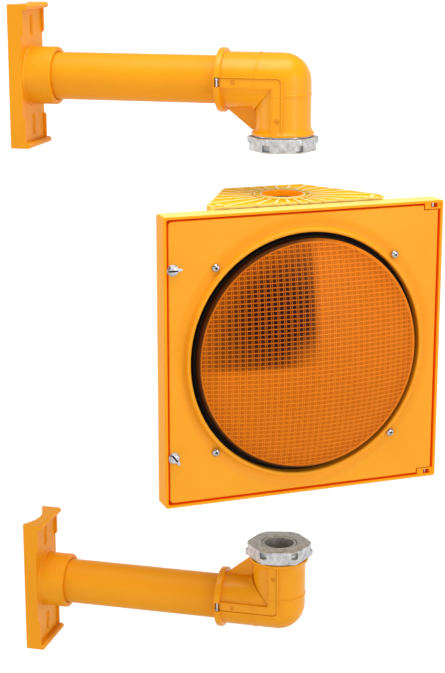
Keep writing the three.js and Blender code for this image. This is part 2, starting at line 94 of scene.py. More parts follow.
# ---- dimensions in millimetres ----
GAP = 0.3
REACH = 338
SEAT = -REACH
TUBE_R = 29
TUBE_WALL = 2.5
FOOT = {"depth": 17, "half": 37.5, "top": 88, "pole": 57, "pole_depth": 10.5}
LIP = {"reach": 26, "height": 7}
SIDE_RIM = {"rise": 3, "width": 3.5, "start": 50}
SLOT = {"at": 61, "width": 10, "length": 26}
SOCKET = {"r": 35.5, "end": 52, "floor": 13}
ELBOW = {"outer": 34, "inner": 33, "bore": 26, "collar": 38.7, "start": 78, "ring": 8, "foot": 64,
         "level_rib": -27.5, "upright_rib": 15}
SOCKET_DEPTH = 44
FLANGE = {"r": 38, "height": 9}
BAND = {"half": 6.7, "face": 35.9, "edge": 37.2}
BAND_SCREWS = [(-54, 0), (0, -45)]
NIPPLE = {"r": 23, "bore": 19, "top": 46, "bottom": 82, "pitch": 2}
WASHER = {"r": 36, "thick": 1.4}
NUT = {"flats": 76, "thick": 17, "notch": 10, "deep": 8, "web": 1.4, "turn": 12}

F = -79
RIM = {"half": 180, "tall": 177, "depth": 27, "wall": 3.6, "floor": 24}
PLATE = {"z": 180, "wide": 112, "narrow": 52, "front": 27, "knee": 42, "back": 147}
RIB = {"count": 24, "width": 3.0, "rise": 1.5, "start": 37}
BOSS = {"x": 100, "back": 33}
RING = {"r": 35.5, "bore": 25.6, "spigot": 28, "rise": 2.2, "teeth": 72}
WALL = 3
DOOR = {"half": 173.75, "shift": -0.25, "tall": 171, "front": 0.5, "thick": 3, "skirt": 12, "corner": 5}
OPENING = {"r": 149, "lip": 154.6, "proud": 6, "behind": 10, "dish": 170, "sunk": 2.2}
HINGE = {"x": 168, "back": 6, "r": 2, "knuckle": 5, "notch_x": 153.5, "notch_z": 164.8,
         "knuckle_z": 148, "hole": (147, 180), "pin_low": 148.5, "pin_top": 175.6}
LENS = {"r": 141.5, "flange": 144, "thick": 3, "shoulder": 10, "crown": 30, "patch": 138.5}
# ZONE: where the lens's painted shade lies, in metres in the head's axes.
ZONE = {"edge_x": (0.010, -0.006), "edge_z": (-0.014, -0.003), "spot": (0.045, -0.052),
        "spot_fade": (0.120, 0.022), "corner": 0.008, "corner_fade": (0.004, 0.046)}  # metres
PRISM = {"column": 8.0, "row": 5.5, "rise": 0.4}
SCREW_AT = (115.7, 113)
LATCH = {"x": 169, "z": 114, "r": 6, "shaft": 2.5, "cam_back": 17.3, "lower_lean": 52}
SEAL = {"x": 160.6, "z": 161, "width": 4, "back": 8.7}
DISH = {"r": 134, "front": 15, "vertex": 92, "neck": 21, "sheet": 1.5, "post": 119,
        "rim": 147, "ear": (144, 176)}
TERMINAL = {"pitch": 13, "z": -86}
CORNERS = [(-1, 1), (1, 1), (-1, -1), (1, -1)]

FINE = 96
ROUND = 48


# ---- outlines ----
def fillet(points, closed=True, steps=4):
    """Rounds each (u, v, radius) corner of an outline with an arc; a corner with no radius stays sharp."""
    out = []
    last = len(points) - 1
    for i, point in enumerate(points):
        radius = point[2] if len(point) > 2 else 0
        if radius <= 0 or (not closed and i in (0, last)):
            out.append((point[0], point[1]))
            continue
        here = Vector(point[:2])
        before = Vector(points[i - 1][:2]) - here
        after = Vector(points[(i + 1) % len(points)][:2]) - here
        half = before.angle(after) / 2
        reach = min(radius / math.tan(half), 0.49 * before.length, 0.49 * after.length)
        start = here + before.normalized() * reach
        end = here + after.normalized() * reach
        centre = here + (before.normalized() + after.normalized()).normalized() * reach / math.cos(half)
        for k in range(steps + 1):
            t = k / steps
            spoke = (start - centre).lerp(end - centre, t).normalized()
            out.append(tuple(centre + spoke * (start - centre).length))
    return out


def circle(r, u=0.0, v=0.0, steps=ROUND):
    turns = [2 * math.pi * k / steps for k in range(steps)]
    return [(u + r * math.cos(a), v + r * math.sin(a)) for a in turns]


def rectangle(u0, u1, v0, v1, radius=0.0, steps=4):
    return fillet([(u0, v0, radius), (u1, v0, radius), (u1, v1, radius), (u0, v1, radius)], steps=steps)


def stadium(u, v, width, length, steps=12):
    """A slot's outline: long along v, with half-round ends."""
    half = width / 2
    straight = length / 2 - half
    ends = []
    for side in (1, -1):
        for k in range(steps + 1):
            a = math.pi * k / steps + (0 if side > 0 else math.pi)
            ends.append((u + half * math.cos(a), v + side * straight + half * math.sin(a)))
    return ends


def span(side, a, b):
    """Two distances from zero, taken to one side of it, the lower first."""
    return sorted((side * a, side * b))


# ---- solids ----
def linked(name, data):
    """A new object in the scene."""
    ob = bpy.data.objects.new(name, data)
    bpy.context.scene.collection.objects.link(ob)
    return ob


def aimed(ob, place, way):
    """Stands a camera or light at a place and points it."""
    ob.location = place
    ob.rotation_mode = "QUATERNION"
    ob.rotation_quaternion = Vector(way).to_track_quat("-Z", "Y")


def new_object(bm, name="part"):
    bmesh.ops.recalc_face_normals(bm, faces=bm.faces)
    mesh = bpy.data.meshes.new(name)
    bm.to_mesh(mesh)
    bm.free()
    ob = linked(name, mesh)
    return ob


def loft(rings, round_trip=False, caps=False):
    """Skins closed rings of the same number of points into one solid."""
    bm = bmesh.new()
    rows = [[bm.verts.new(point) for point in ring] for ring in rings]
    count = len(rows[0])
    following = rows[1:] + ([rows[0]] if round_trip else [])
    for near, far in zip(rows, following):
        for i in range(count):
            j = (i + 1) % count
            bm.faces.new((near[i], near[j], far[j], far[i]))
    if caps:
        bm.faces.new(rows[0])
        bm.faces.new(rows[-1])
    bmesh.ops.remove_doubles(bm, verts=bm.verts, dist=1e-4)
    return new_object(bm)


def along(axis, h, u, v):
    """A point h along one axis, with u and v on the other two in order."""
    return {"x": (h, u, v), "y": (u, h, v), "z": (u, v, h)}[axis]


def prism(axis, outline, low, high):
    return loft([[along(axis, h, u, v) for u, v in outline] for h in (low, high)], caps=True)


def box(x0, x1, y0, y1, z0, z1):
    return prism("z", rectangle(x0, x1, y0, y1), z0, z1)


def rod(axis, r, low, high, u=0.0, v=0.0, steps=ROUND):
    return prism(axis, circle(r, u, v, steps), low, high)


def swept(axis, section, steps):
    """Closed sections of (radius, height) points set round an axis; section(k) gives the one at step k."""
    rings = []
    for k in range(steps):
        a = 2 * math.pi * k / steps
        rings.append([along(axis, h, r * math.cos(a), r * math.sin(a)) for r, h in section(k)])
    return loft(rings, round_trip=True)


def turned(axis, profile, steps=FINE):
    """A closed profile of (radius, height) points turned about an axis."""
    return swept(axis, lambda k: profile, steps)


def moved(ob, x=0.0, y=0.0, z=0.0):
    ob.data.transform(Matrix.Translation((x, y, z)))
    return ob


def spun(ob, axis, degrees):
    ob.data.transform(Matrix.Rotation(math.radians(degrees), 4, axis))
    return ob


def mirrored(ob, axis):
    """A second object: ob seen in a mirror across the plane through the origin."""
    other = ob.copy()
    other.data = ob.data.copy()
    bpy.context.scene.collection.objects.link(other)
    sizes = [-1.0 if name == axis else 1.0 for name in "xyz"]
    other.data.transform(Matrix.Diagonal((*sizes, 1.0)))
    other.data.flip_normals()
    return other


def applied(ob):
    """Makes the modifiers' result the object's own mesh."""
    graph = bpy.context.evaluated_depsgraph_get()
    mesh = bpy.data.meshes.new_from_object(ob.evaluated_get(graph))
    ob.modifiers.clear()
    ob.data = mesh
    return ob


def combined(kind, ob, others):
    for other in others:
        step = ob.modifiers.new("step", "BOOLEAN")
        step.operation = kind
        step.solver = "MANIFOLD"
        step.object = other
    applied(ob)
    for other in others:
        bpy.data.objects.remove(other)
    return ob


def join(ob, *others):
    return combined("UNION", ob, others)


def cut(ob, *others):
    return combined("DIFFERENCE", ob, others)


def common(ob, *others):
    return combined("INTERSECT", ob, others)


def softened(ob, width, angle=30, segments=2):
    """Rounds every edge that is sharper than the angle."""
    step = ob.modifiers.new("soft", "BEVEL")
    step.width = width
    step.limit_method = "ANGLE"
    step.angle_limit = math.radians(angle)
    step.segments = segments
    step.use_clamp_overlap = True
    return applied(ob)


def cleaned(ob, angle=0.3, near=0.02):
    """Joins the flat facets that a boolean leaves, so that edges can be rounded after it."""
    bm = bmesh.new()
    bm.from_mesh(ob.data)
    bmesh.ops.remove_doubles(bm, verts=bm.verts, dist=near)
    bmesh.ops.dissolve_limit(bm, angle_limit=math.radians(angle), verts=bm.verts, edges=bm.edges)
    bm.to_mesh(ob.data)
    bm.free()
    return ob


def finished(ob, name, place, body, look, nodes=(), sharp=32):
    """Puts a local solid in its place, with its finish, ties it to its body and hides the CAD nodes that it
    replaces.
    """
    ob.name = name
    ob.data.name = name
    ob.data.transform(place)
    if place.determinant() < 0:
        ob.data.flip_normals()
    if not isinstance(look, (list, tuple)):
        look = [look]
    if len(look) == 1:
        ob.data.materials.clear()
    for material in look:
        if material.name not in ob.data.materials:
            ob.data.materials.append(material)
    ob.data.shade_smooth()
    ob.data.set_sharp_from_angle(angle=math.radians(sharp))
    weights = ob.modifiers.new("normals", "WEIGHTED_NORMAL")
    weights.keep_sharp = True
    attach(ob, body)
    if nodes:
        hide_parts(*nodes)
    return ob


# ---- finishes ----
class Look:
    """A material under construction: its nodes, and short ways to add to them."""

    def __init__(self, name, rough=0.4, metal=0.0):
        self.material = bpy.data.materials.new(name)
        self.material.use_nodes = True
        self.nodes = self.material.node_tree.nodes
        self.links = self.material.node_tree.links
        self.shader = self.nodes["Principled BSDF"]
        self.shader.inputs["Roughness"].default_value = rough
        self.shader.inputs["Metallic"].default_value = metal
        self.place = self.add("ShaderNodeTexCoord").outputs["Object"]

    def add(self, kind, **settings):
        node = self.nodes.new(kind)
        for key, value in settings.items():
            setattr(node, key, value)
        return node

    def plug(self, source, target):
        if isinstance(source, (int, float)):
            target.default_value = source
        elif isinstance(source, (tuple, list)):
            target.default_value = source
        else:
            self.links.new(source, target)

    def noise(self, scale, detail=3.0, rough=0.5, place=None):
        node = self.add("ShaderNodeTexNoise")
        node.inputs["Scale"].default_value = scale
        node.inputs["Detail"].default_value = detail
        node.inputs["Roughness"].default_value = rough
        self.links.new(place or self.place, node.inputs["Vector"])
        return node.outputs["Fac"]

    def ramp(self, source, *stops):
        """Colours or greys set by stops of (position, colour or grey)."""
        node = self.add("ShaderNodeValToRGB")
        elements = node.color_ramp.elements
        while len(elements) < len(stops):
            elements.new(0.5)
        for element, (position, value) in zip(elements, stops):
            element.position = position
            grey = isinstance(value, (int, float))
            element.color = (value, value, value, 1) if grey else (*value, 1)
        self.links.new(source, node.inputs["Fac"])
        return node.outputs["Color"]

    def mottle(self, scale, low, high):
        """A slow drift between two colours or greys."""
        return self.ramp(self.noise(scale), (0.3, low), (0.7, high))

    def math(self, kind, a, b=0.0):
        node = self.add("ShaderNodeMath", operation=kind)
        self.plug(a, node.inputs[0])
        self.plug(b, node.inputs[1])
        return node.outputs["Value"]

    def mix(self, share, a, b, kind="MIX"):
        node = self.add("ShaderNodeMix", data_type="RGBA", blend_type=kind)
        self.plug(share, node.inputs[0])
        for source, socket in ((a, node.inputs[6]), (b, node.inputs[7])):
            self.plug((*source, 1) if isinstance(source, tuple) else source, socket)
        return node.outputs[2]

    def spread(self, source, low, high):
        """A 0 to 1 texture stretched to run from low to high."""
        node = self.add("ShaderNodeMapRange")
        node.inputs["To Min"].default_value = low
        node.inputs["To Max"].default_value = high
        self.links.new(source, node.inputs["Value"])
        return node.outputs["Result"]

    def bump(self, source, strength, distance, under=None):
        node = self.add("ShaderNodeBump")
        node.inputs["Strength"].default_value = strength
        node.inputs["Distance"].default_value = distance
        self.links.new(source, node.inputs["Height"])
        if under is not None:
            self.links.new(under, node.inputs["Normal"])
        return node.outputs["Normal"]

    def head_place(self):
        """The point in the head's own axes, in metres, so that a pattern can follow the head."""
        node = self.add("ShaderNodeMapping", vector_type="TEXTURE")
        node.inputs["Location"].default_value = HEAD.translation
        node.inputs["Rotation"].default_value = (0, 0, YAW)
        self.links.new(self.place, node.inputs["Vector"])
        return node.outputs["Vector"]

    def head_axes(self):
        split = self.add("ShaderNodeSeparateXYZ")
        self.links.new(self.head_place(), split.inputs[0])
        return [split.outputs[axis] for axis in "XYZ"]

    def edge(self, value, low, high):
        """Rises smoothly from 0 at low to 1 at high; low may be the larger."""
        node = self.add("ShaderNodeMapRange", interpolation_type="SMOOTHSTEP")
        node.inputs["From Min"].default_value = low
        node.inputs["From Max"].default_value = high
        self.plug(value, node.inputs["Value"])
        return node.outputs["Result"]

    def distance(self, a, b):
        return self.math("SQRT", self.math("ADD", self.math("POWER", a, 2.0), self.math("POWER", b, 2.0)))

    def product(self, *sources):
        total = sources[0]
        for source in sources[1:]:
            total = self.math("MULTIPLY", total, source)
        return total

    def set(self, **sockets):
        """Plugs sources into the shader; _ stands for a space in a socket's name."""
        for key, value in sockets.items():
            self.plug(value, self.shader.inputs[key.replace("_", " ")])
        return self


def yellow(name, light, deep, peel, rough, shine):
    """Yellow with a slow drift of tone, an orange-peel skin and a broken gloss."""
    look = Look(name)
    tone = look.mottle(9, deep, light)
    grain = look.noise(1700, 2)
    skin = look.noise(peel, 2)
    normal = look.bump(skin, 0.16, 0.0004, look.bump(grain, 0.10, 0.0002))
    look.set(Normal=normal, Roughness=look.spread(look.noise(35), *rough), Specular_IOR_Level=shine)
    look.set(Base_Color=tone)
    return look, tone


def yellow_plastic():
    light, deep = (0.86, 0.345, 0.001), (0.82, 0.310, 0.001)
    look, _ = yellow("yellow_polycarbonate", light, deep, 60, (0.26, 0.38), 0.28)
    return look.material


def yellow_paint():
    light, deep = (0.82, 0.315, 0.001), (0.78, 0.290, 0.001)
    look, _ = yellow("yellow_powder_coat", light, deep, 520, (0.42, 0.54), 0.22)
    return look.material


def painted_gap_glow(look, tone, within):
    """Painted glow: a red-orange colour and a faint emission down in the gap round the door, standing in for
    light caught there; the plastic is no lamp.
    """
    look.set(Base_Color=look.mix(within, tone, (0.88, 0.16, 0.001)))
    look.set(Emission_Color=(0.80, 0.035, 0.0, 1), Emission_Strength=look.product(within, 0.16))


def outside_of(look, x, z, half, tall, soft=0.0006):
    """1 where a point lies beyond a rectangle about the swivel axis, else 0."""
    beyond_x = look.edge(look.math("ABSOLUTE", x), half - soft, half)
    beyond_z = look.edge(look.math("ABSOLUTE", z), tall - soft, tall)
    return look.math("MAXIMUM", beyond_x, beyond_z)


def housing_plastic():
    """The plastic of the head, with painted light: a lighter yellow on the top and bottom faces, painted
    highlights on the ribs and the rim's top, and a painted red-orange glow down in the door's gap.
    """
    look, tone = yellow("yellow_housing", (0.90, 0.355, 0.003), (0.86, 0.325, 0.002), 45, (0.34, 0.46), 0.12)
    x, y, z = look.head_axes()
    rib_top_highlight = look.edge(look.math("ABSOLUTE", z), (PLATE["z"] + 0.7) * MM, (PLATE["z"] + 1.3) * MM)
    plate = look.edge(look.math("ABSOLUTE", z), (RIM["tall"] - 0.8) * MM, (RIM["tall"] - 0.2) * MM)
    # painted light: the top and bottom faces get a lighter, yellower tone, standing in for the strong top
    # lamp
    tone = look.mix(look.product(plate, 0.95), tone, (0.95, 0.55, 0.001))
    # painted highlight: the rim's top face is made pale, as if strongly lit
    rim_top_highlight = look.product(plate, look.edge(y, (F + RIM["depth"] + 0.6) * MM, (F + RIM["depth"]) * MM))
    tone = look.mix(look.product(rim_top_highlight, 0.8), tone, (1.0, 0.74, 0.22))
    # painted highlight: the rib tops, bosses and raised border above the plate are made pale
    tone = look.mix(look.product(rib_top_highlight, 0.85), tone, (1.0, 0.86, 0.40))
    # painted glow: between the seal edge and the rim wall, down in the gap round the door, the plastic gets
    # a red-orange colour and emission
    inner = outside_of(look, x, z, (SEAL["x"] + 1.5) * MM, (SEAL["z"] + 1.5) * MM)
    within_wall = RIM["wall"] - 0.6
    rim = outside_of(look, x, z, (RIM["half"] - within_wall) * MM, (RIM["tall"] - within_wall) * MM, 0.0004)
    deep = look.edge(y, (F + 1.0) * MM, (F + 2.2) * MM)
    ends = look.edge(y, (F + RIM["floor"] + 1.5) * MM, (F + RIM["floor"] + 1.0) * MM)
    painted_gap_glow(look, tone, look.product(inner, look.math("SUBTRACT", 1.0, rim), deep, ends))
    return look.material


def ring_plastic():
    """The plastic of the index rings, with painted light: the lighter yellow of the lit top plate, painted
    highlights along both raised edges, and a painted glow in the bore.
    """
    # painted light: the rings' base yellow is the lighter tone that the housing gets on its lit top and
    # bottom faces
    look, tone = yellow("yellow_ring", (0.95, 0.56, 0.002), (0.91, 0.52, 0.001), 45, (0.34, 0.46), 0.12)
    x, y, z = look.head_axes()
    top = PLATE["z"] + GAP + RING["rise"]
    # painted highlight: both raised edges are made pale
    edges = look.edge(look.math("ABSOLUTE", z), (top - 0.6) * MM, (top - 0.3) * MM)
    tone = look.mix(look.product(edges, 0.85), tone, (1.0, 0.86, 0.40))
    # painted glow: the bore gets an orange colour and emission, standing in for light seen in the hole; the
    # ring is no lamp
    bore = look.edge(look.distance(x, y), (RING["bore"] + 0.8) * MM, (RING["bore"] + 0.4) * MM)
    look.set(Base_Color=look.mix(bore, tone, (0.95, 0.30, 0.002)))
    look.set(Emission_Color=(1.0, 0.22, 0.0, 1), Emission_Strength=look.product(bore, 0.6))
    return look.material


def door_plastic():
    light, deep = (0.89, 0.355, 0.012), (0.85, 0.325, 0.008)
    look, tone = yellow("yellow_door_texture", light, deep, 30, (0.40, 0.52), 0.20)
    x, y, z = look.head_axes()
    # painted glow: the leaf's edge, down in the gap round the door, gets a red-orange colour and emission
    edge_of_leaf = outside_of(look, x, z, (DOOR["half"] - 0.3) * MM, (DOOR["tall"] - 0.2) * MM, 0.0002)
    painted_gap_glow(look, tone, look.product(edge_of_leaf, look.edge(y, (F + 1.6) * MM, (F + 2.6) * MM)))
    return look.material


def cast_metal():
    look = Look("bare_die_casting", metal=0.85)
    blotch = look.noise(130, 6, 0.7)
    speck = look.noise(900, 3, 0.6)
    tone = look.ramp(blotch, (0.30, 0.34), (0.46, 0.60), (0.60, 0.76), (0.75, 0.92))
    tone = look.mix(look.spread(speck, 0.0, 0.5), tone, (0.30, 0.30, 0.31))
    normal = look.bump(blotch, 0.5, 0.0006, look.bump(speck, 0.45, 0.0003))
    look.set(Base_Color=tone, Normal=normal, Roughness=look.spread(blotch, 0.62, 0.36))
    return look.material


def stainless():
    look = Look("stainless_steel", metal=1.0)
    stretch = look.add("ShaderNodeMapping")
    stretch.inputs["Scale"].default_value = (1, 1, 14)
    look.links.new(look.place, stretch.inputs["Vector"])
    lines = look.noise(260, 4, 0.6, stretch.outputs["Vector"])
    tone = look.mottle(160, (0.42, 0.42, 0.43), (0.60, 0.60, 0.61))
    look.set(Base_Color=tone, Roughness=look.spread(lines, 0.16, 0.34))
    look.set(Normal=look.bump(lines, 0.08, 0.0001))
    return look.material


def recess_shade():
    """Painted shade: a near-black finish for the inside of a screw's recess or slot, where shade falls on
    the steel.
    """
    look = Look("screw_recess_shade", metal=0.4)
    tone = look.mottle(700, (0.030, 0.028, 0.026), (0.075, 0.070, 0.065))
    look.set(Base_Color=tone, Roughness=look.spread(look.noise(400), 0.55, 0.8), Specular_IOR_Level=0.15)
    return look.material


def rubber():
    look = Look("black_rubber")
    tone = look.mottle(90, (0.006, 0.004, 0.003), (0.014, 0.010, 0.007))
    look.set(Base_Color=tone, Roughness=look.spread(look.noise(200), 0.55, 0.75), Specular_IOR_Level=0.12)
    look.set(Normal=look.bump(look.noise(1300, 3), 0.3, 0.0002))
    return look.material


def amber(name, bright, dim, zone_shade):
    """Amber plastic with painted shade: a dark zone in its upper left quadrant, softer towards the middle,
    standing in for the dark lamp cavity seen through the lens; a painted shade and light towards the rim;
    and a near-black painted shade on the left shoulder.
    """
    look = Look(name, rough=0.34)
    x, _, z = look.head_axes()
    # painted shade: the upper left quadrant is darkened, softer round a spot and towards the middle
    quadrant = look.product(look.edge(x, *ZONE["edge_x"]), look.edge(z, *ZONE["edge_z"]))
    away = look.distance(look.math("ADD", x, ZONE["spot"][0]), look.math("ADD", z, ZONE["spot"][1]))
    corner = look.distance(x, look.math("ADD", z, ZONE["corner"]))
    shade = look.product(quadrant, look.spread(look.edge(away, *ZONE["spot_fade"]), 0.52, 1.0),
                         look.spread(look.edge(corner, *ZONE["corner_fade"]), 0.35, 1.0))
    tone = look.mix(look.spread(look.noise(22), 0.0, 0.30), bright, dim)
    tone = look.mix(shade, tone, zone_shade)
    radius = look.distance(x, z)
    # painted shade and light: towards the rim the amber is pulled halfway to its dim tone, darker than the
    # lit parts and lighter than the shaded zone
    tone = look.mix(look.product(look.edge(radius, 0.112, 0.141), 0.5), tone, dim)
    # painted shade: a near-black ring on the lens's left shoulder, where the deep gap by the lip lies in
    # shadow
    shoulder = look.product(look.edge(radius, 0.1378, 0.1400), look.edge(x, 0.070, -0.030))
    tone = look.mix(look.product(shoulder, 0.92), tone, (0.020, 0.005, 0.001))
    look.set(Base_Color=tone, IOR=1.49, Specular_IOR_Level=0.07)
    look.set(Normal=look.bump(look.noise(60, 1), 0.04, 0.0004))
    return look.material


def mirror():
    look = Look("polished_reflector", metal=1.0)
    ring = look.add("ShaderNodeTexWave", wave_type="RINGS", rings_direction="Y")
    ring.inputs["Scale"].default_value = 160
    ring.inputs["Distortion"].default_value = 1.5
    look.links.new(look.head_place(), ring.inputs["Vector"])
    tone = look.mottle(20, (0.78, 0.78, 0.80), (0.88, 0.88, 0.89))
    look.set(Base_Color=tone, Roughness=look.spread(look.noise(50), 0.08, 0.18))
    look.set(Normal=look.bump(ring.outputs["Fac"], 0.08, 0.0002))
    return look.material


def glass():
    look = Look("lamp_glass", rough=0.03)
    smoke = look.ramp(look.noise(35), (0.4, (0.97, 0.97, 0.95)), (0.8, (0.90, 0.90, 0.87)))
    look.set(Base_Color=smoke, Transmission_Weight=0.95, IOR=1.47)
    return look.material


def porcelain():
    look = Look("white_porcelain")
    tone = look.mottle(40, (0.78, 0.76, 0.70), (0.86, 0.84, 0.79))
    look.set(Base_Color=tone, Roughness=look.spread(look.noise(70), 0.25, 0.40), Coat_Weight=0.4)
    look.set(Normal=look.bump(look.noise(300, 2), 0.08, 0.0003))
    return look.material


def floor_white():
    look = Look("studio_floor", rough=0.9)
    tone = look.mottle(1.5, 0.62, 0.65)
    split = look.add("ShaderNodeSeparateXYZ")
    look.links.new(look.place, split.inputs[0])
    across = look.math("ADD", split.outputs["X"], -AXIS_X)
    squares = [look.math("POWER", value, 2.0) for value in (across, split.outputs["Y"])]
    away = look.math("SQRT", look.math("ADD", *squares))
    look.set(Base_Color=tone, Emission_Color=(1, 1, 1, 1))
    look.set(Emission_Strength=look.math("MULTIPLY", look.edge(away, 0.6, 1.7), 0.60))
    return look.material


PLASTIC = yellow_plastic()
HOUSING_PLASTIC = housing_plastic()
RING_PLASTIC = ring_plastic()
DOOR_PLASTIC = door_plastic()
PAINT = yellow_paint()
CASTING = cast_metal()
STEEL = stainless()
RECESS_SHADE = recess_shade()
RUBBER = rubber()
# One amber plastic in two copies: the cells' darker copy is painted shade between the lit ridges.
AMBER = amber("amber_ridges", (0.80, 0.225, 0.012), (0.66, 0.155, 0.004), (0.50, 0.108, 0.001))
AMBER_CELL_SHADE = amber("amber_cells_shaded", (0.58, 0.140, 0.003), (0.40, 0.078, 0.001), (0.022, 0.002, 0.0004))
MIRROR = mirror()
GLASS = glass()
PORCELAIN = porcelain()


# ---- arm pieces ----
def foot_slot(z):
    """The hole of one band slot, flared at the front where the casting is chamfered."""
    face = SEAT + FOOT["depth"]
    width, length = SLOT["width"], SLOT["length"]
    stations = [(SEAT - 1, 0.0), (face - 1.6, 0.0), (face + 0.4, 2.4)]
    rings = []
    for x, extra in stations:
        outline = stadium(0, z, width - 0.8 + extra, length - 0.8 + extra)
        rings.append([(x, u, v) for u, v in outline])
    return loft(rings, caps=True)


def foot_lip(side):
    top = FOOT["top"]
    bottom = top - LIP["height"]
    end = SEAT + LIP["reach"]
    outline = fillet([(SEAT, bottom), (end, bottom, 3.4), (end, top, 3.4), (SEAT, top)], steps=6)
    outline = [(x, side * z) for x, z in outline]
    return prism("y", outline, -FOOT["half"], FOOT["half"])


def foot_side_rim(side, end):
    """The raised rim on one side of the plate, at one end, which rises from the plate by a short slope."""
    face = SEAT + FOOT["depth"]
    rise = face + SIDE_RIM["rise"]
    start = SIDE_RIM["start"]
    top = FOOT["top"] - 2
    outline = [(SEAT, start), (face, start), (rise, start + 3), (rise, top), (SEAT, top)]
    outline = [(x, end * z) for x, z in outline]
    return prism("y", outline, *span(side, FOOT["half"] - SIDE_RIM["width"], FOOT["half"]))


def arm_foot():
    half = FOOT["half"]
    face = SEAT + FOOT["depth"]
    end = SEAT + SOCKET["end"]
    pole_x = SEAT + FOOT["pole_depth"] - FOOT["pole"]
    foot = box(SEAT, face, -half, half, -FOOT["top"], FOOT["top"])
    extras = [foot_lip(1), foot_lip(-1)]
    extras += [foot_side_rim(side, end_) for side in (1, -1) for end_ in (1, -1)]
    foot = join(foot, *extras)
    pole = rod("z", FOOT["pole"], -FOOT["top"] - 1, FOOT["top"] + 1, pole_x, 0, FINE)
    foot = cut(foot, pole, foot_slot(SLOT["at"]), foot_slot(-SLOT["at"]))
    foot = softened(cleaned(foot), 0.9, 28, 3)
    r = SOCKET["r"]
    socket = turned("x", fillet([
        (0, SEAT + 11),
        (r + 1.5, SEAT + 11),
        (r + 1.5, face + 0.2),
        (r, face + 2.2, 3),
        (r, end, 2.4),
        (TUBE_R + 0.6, end, 1.2),
        (TUBE_R + 0.6, SEAT + SOCKET["floor"]),
        (0, SEAT + SOCKET["floor"]),
    ]))
    foot = join(foot, socket)
    way = rod("x", TUBE_R + 0.6, SEAT + SOCKET["floor"], end - 3, 0, 0, FINE)
    return cut(foot, way, rod("x", 25, SEAT - 1, SEAT + 20))


def arm_tube():
    low = SEAT + SOCKET["floor"] + GAP
    high = -ELBOW["start"] + SOCKET_DEPTH
    inner = TUBE_R - TUBE_WALL
    return turned("x", fillet([
        (TUBE_R, low, 0.6), (TUBE_R, high, 0.6), (inner, high, 0.6), (inner, low, 0.6),
    ]))


def stepped(stations, position):
    """The value of a profile of (position, value) stations at a position between them."""
    for (p0, v0), (p1, v1) in zip(stations, stations[1:]):
        if p0 <= position <= p1:
            return v0 + (v1 - v0) * ((position - p0) / (p1 - p0) if p1 > p0 else 1.0)
    return stations[-1][1]


def ring_profile(middle_at, r, rise=0.9, half=0.9):
    """Stations of a low rib with rounded edges that runs round a wall of radius r."""
    return [
        (middle_at - half - 0.3, r),
        (middle_at - half, r + 0.6 * rise),
        (middle_at - half + 0.35, r + rise),
        (middle_at + half - 0.35, r + rise),
        (middle_at + half, r + 0.6 * rise),
        (middle_at + half + 0.3, r),
    ]


def collar_profile(r):
    """The clamping collar at the open end of the elbow, then the plain wall."""
    start = -ELBOW["start"]
    end = start + ELBOW["ring"]
    top = ELBOW["collar"]
    return [
        (start, top - 1.2), (start + 0.4, top - 0.4), (start + 1.2, top),
        (end - 1.2, top), (end - 0.4, top - 0.4), (end, top - 1.2), (end + 0.2, r + 0.6), (end + 1.2, r),
    ]


def flare_profile(r):
    """The wall spreading into the flange at the bottom, as distance down from the elbow's centre."""
    foot = ELBOW["foot"]
    top = FLANGE["r"]
    return [
        (foot - FLANGE["height"] - 4, r),
        (foot - FLANGE["height"], r + 0.25),
        (foot - 6, r + 1.3),
        (foot - 4, r + 2.9),
        (foot - 3.3, top - 0.3),
        (foot - 2.7, top),
        (foot - 0.6, top),
        (foot, top - 0.6),
    ]


def elbow_bores():
    """Inner radii: along the level leg from its open end, and down the upright leg from the centre."""
    seat = -ELBOW["start"] + SOCKET_DEPTH
    bore = ELBOW["bore"]
    level = [(-ELBOW["start"], TUBE_R + GAP), (seat, TUBE_R + GAP), (seat + 0.2, bore), (0, bore)]
    step = NIPPLE["top"] - GAP
    upright = [(0, bore), (step, bore), (step + 0.2, NIPPLE["r"] + GAP), (ELBOW["foot"], NIPPLE["r"] + GAP)]
    return level, upright


def half_shell(side, start, level, corner, upright):
    """Half of the elbow's wall: along the level leg, round the corner and down the upright leg.

    side is 1 for the outer half and -1 for the inner; both legs are used beyond the distance start."""
    level_bore, upright_bore = elbow_bores()
    sweep = [math.radians(180 * k / ROUND - 90) for k in range(ROUND + 1)]
    rings = []

    def ring(outside, inside, point):
        rings.append([point(outside, a) for a in sweep] + [point(inside, a) for a in reversed(sweep)])

    for x in sorted({p for p, _ in level + level_bore if p <= -start}):
        ring(stepped(level, x), stepped(level_bore, x),
             lambda r, a: (x, r * math.sin(a), side * r * math.cos(a)))
    for point in corner:
        ring(level[-1][1], ELBOW["bore"], point)
    for down in sorted({p for p, _ in upright + upright_bore if p >= start}):
        ring(stepped(upright, down), stepped(upright_bore, down),
             lambda r, a: (side * r * math.cos(a), r * math.sin(a), -down))
    return loft(rings, caps=True)


def wide_corner(turn):
    return lambda r, a: (r * math.cos(a) * math.sin(turn), r * math.sin(a), r * math.cos(a) * math.cos(turn))


def tight_corner(turn, blend=3.0):
    def point(r, a):
        depth = r * math.cos(a) + blend
        return (-depth + blend * math.sin(turn), r * math.sin(a), -depth + blend * (1 - math.cos(turn)))

    return point


def elbow_outer():
    r = ELBOW["outer"]
    level = collar_profile(r) + ring_profile(ELBOW["level_rib"], r) + [(0, r)]
    upright = [(0, r)] + ring_profile(ELBOW["upright_rib"], r) + flare_profile(r)
    corner = [wide_corner(math.pi / 2 * k / 12) for k in range(1, 12)]
    shell = half_shell(1, 0, level, corner, upright)
    low, high = BAND["half"] - 1.6, BAND["half"] + 0.3
    shell = join(shell, *[corner_bar(low, high, 31, BAND["edge"], 7, side) for side in (-1, 1)])
    return cut(shell, collar_window(), *band_screw_holes())


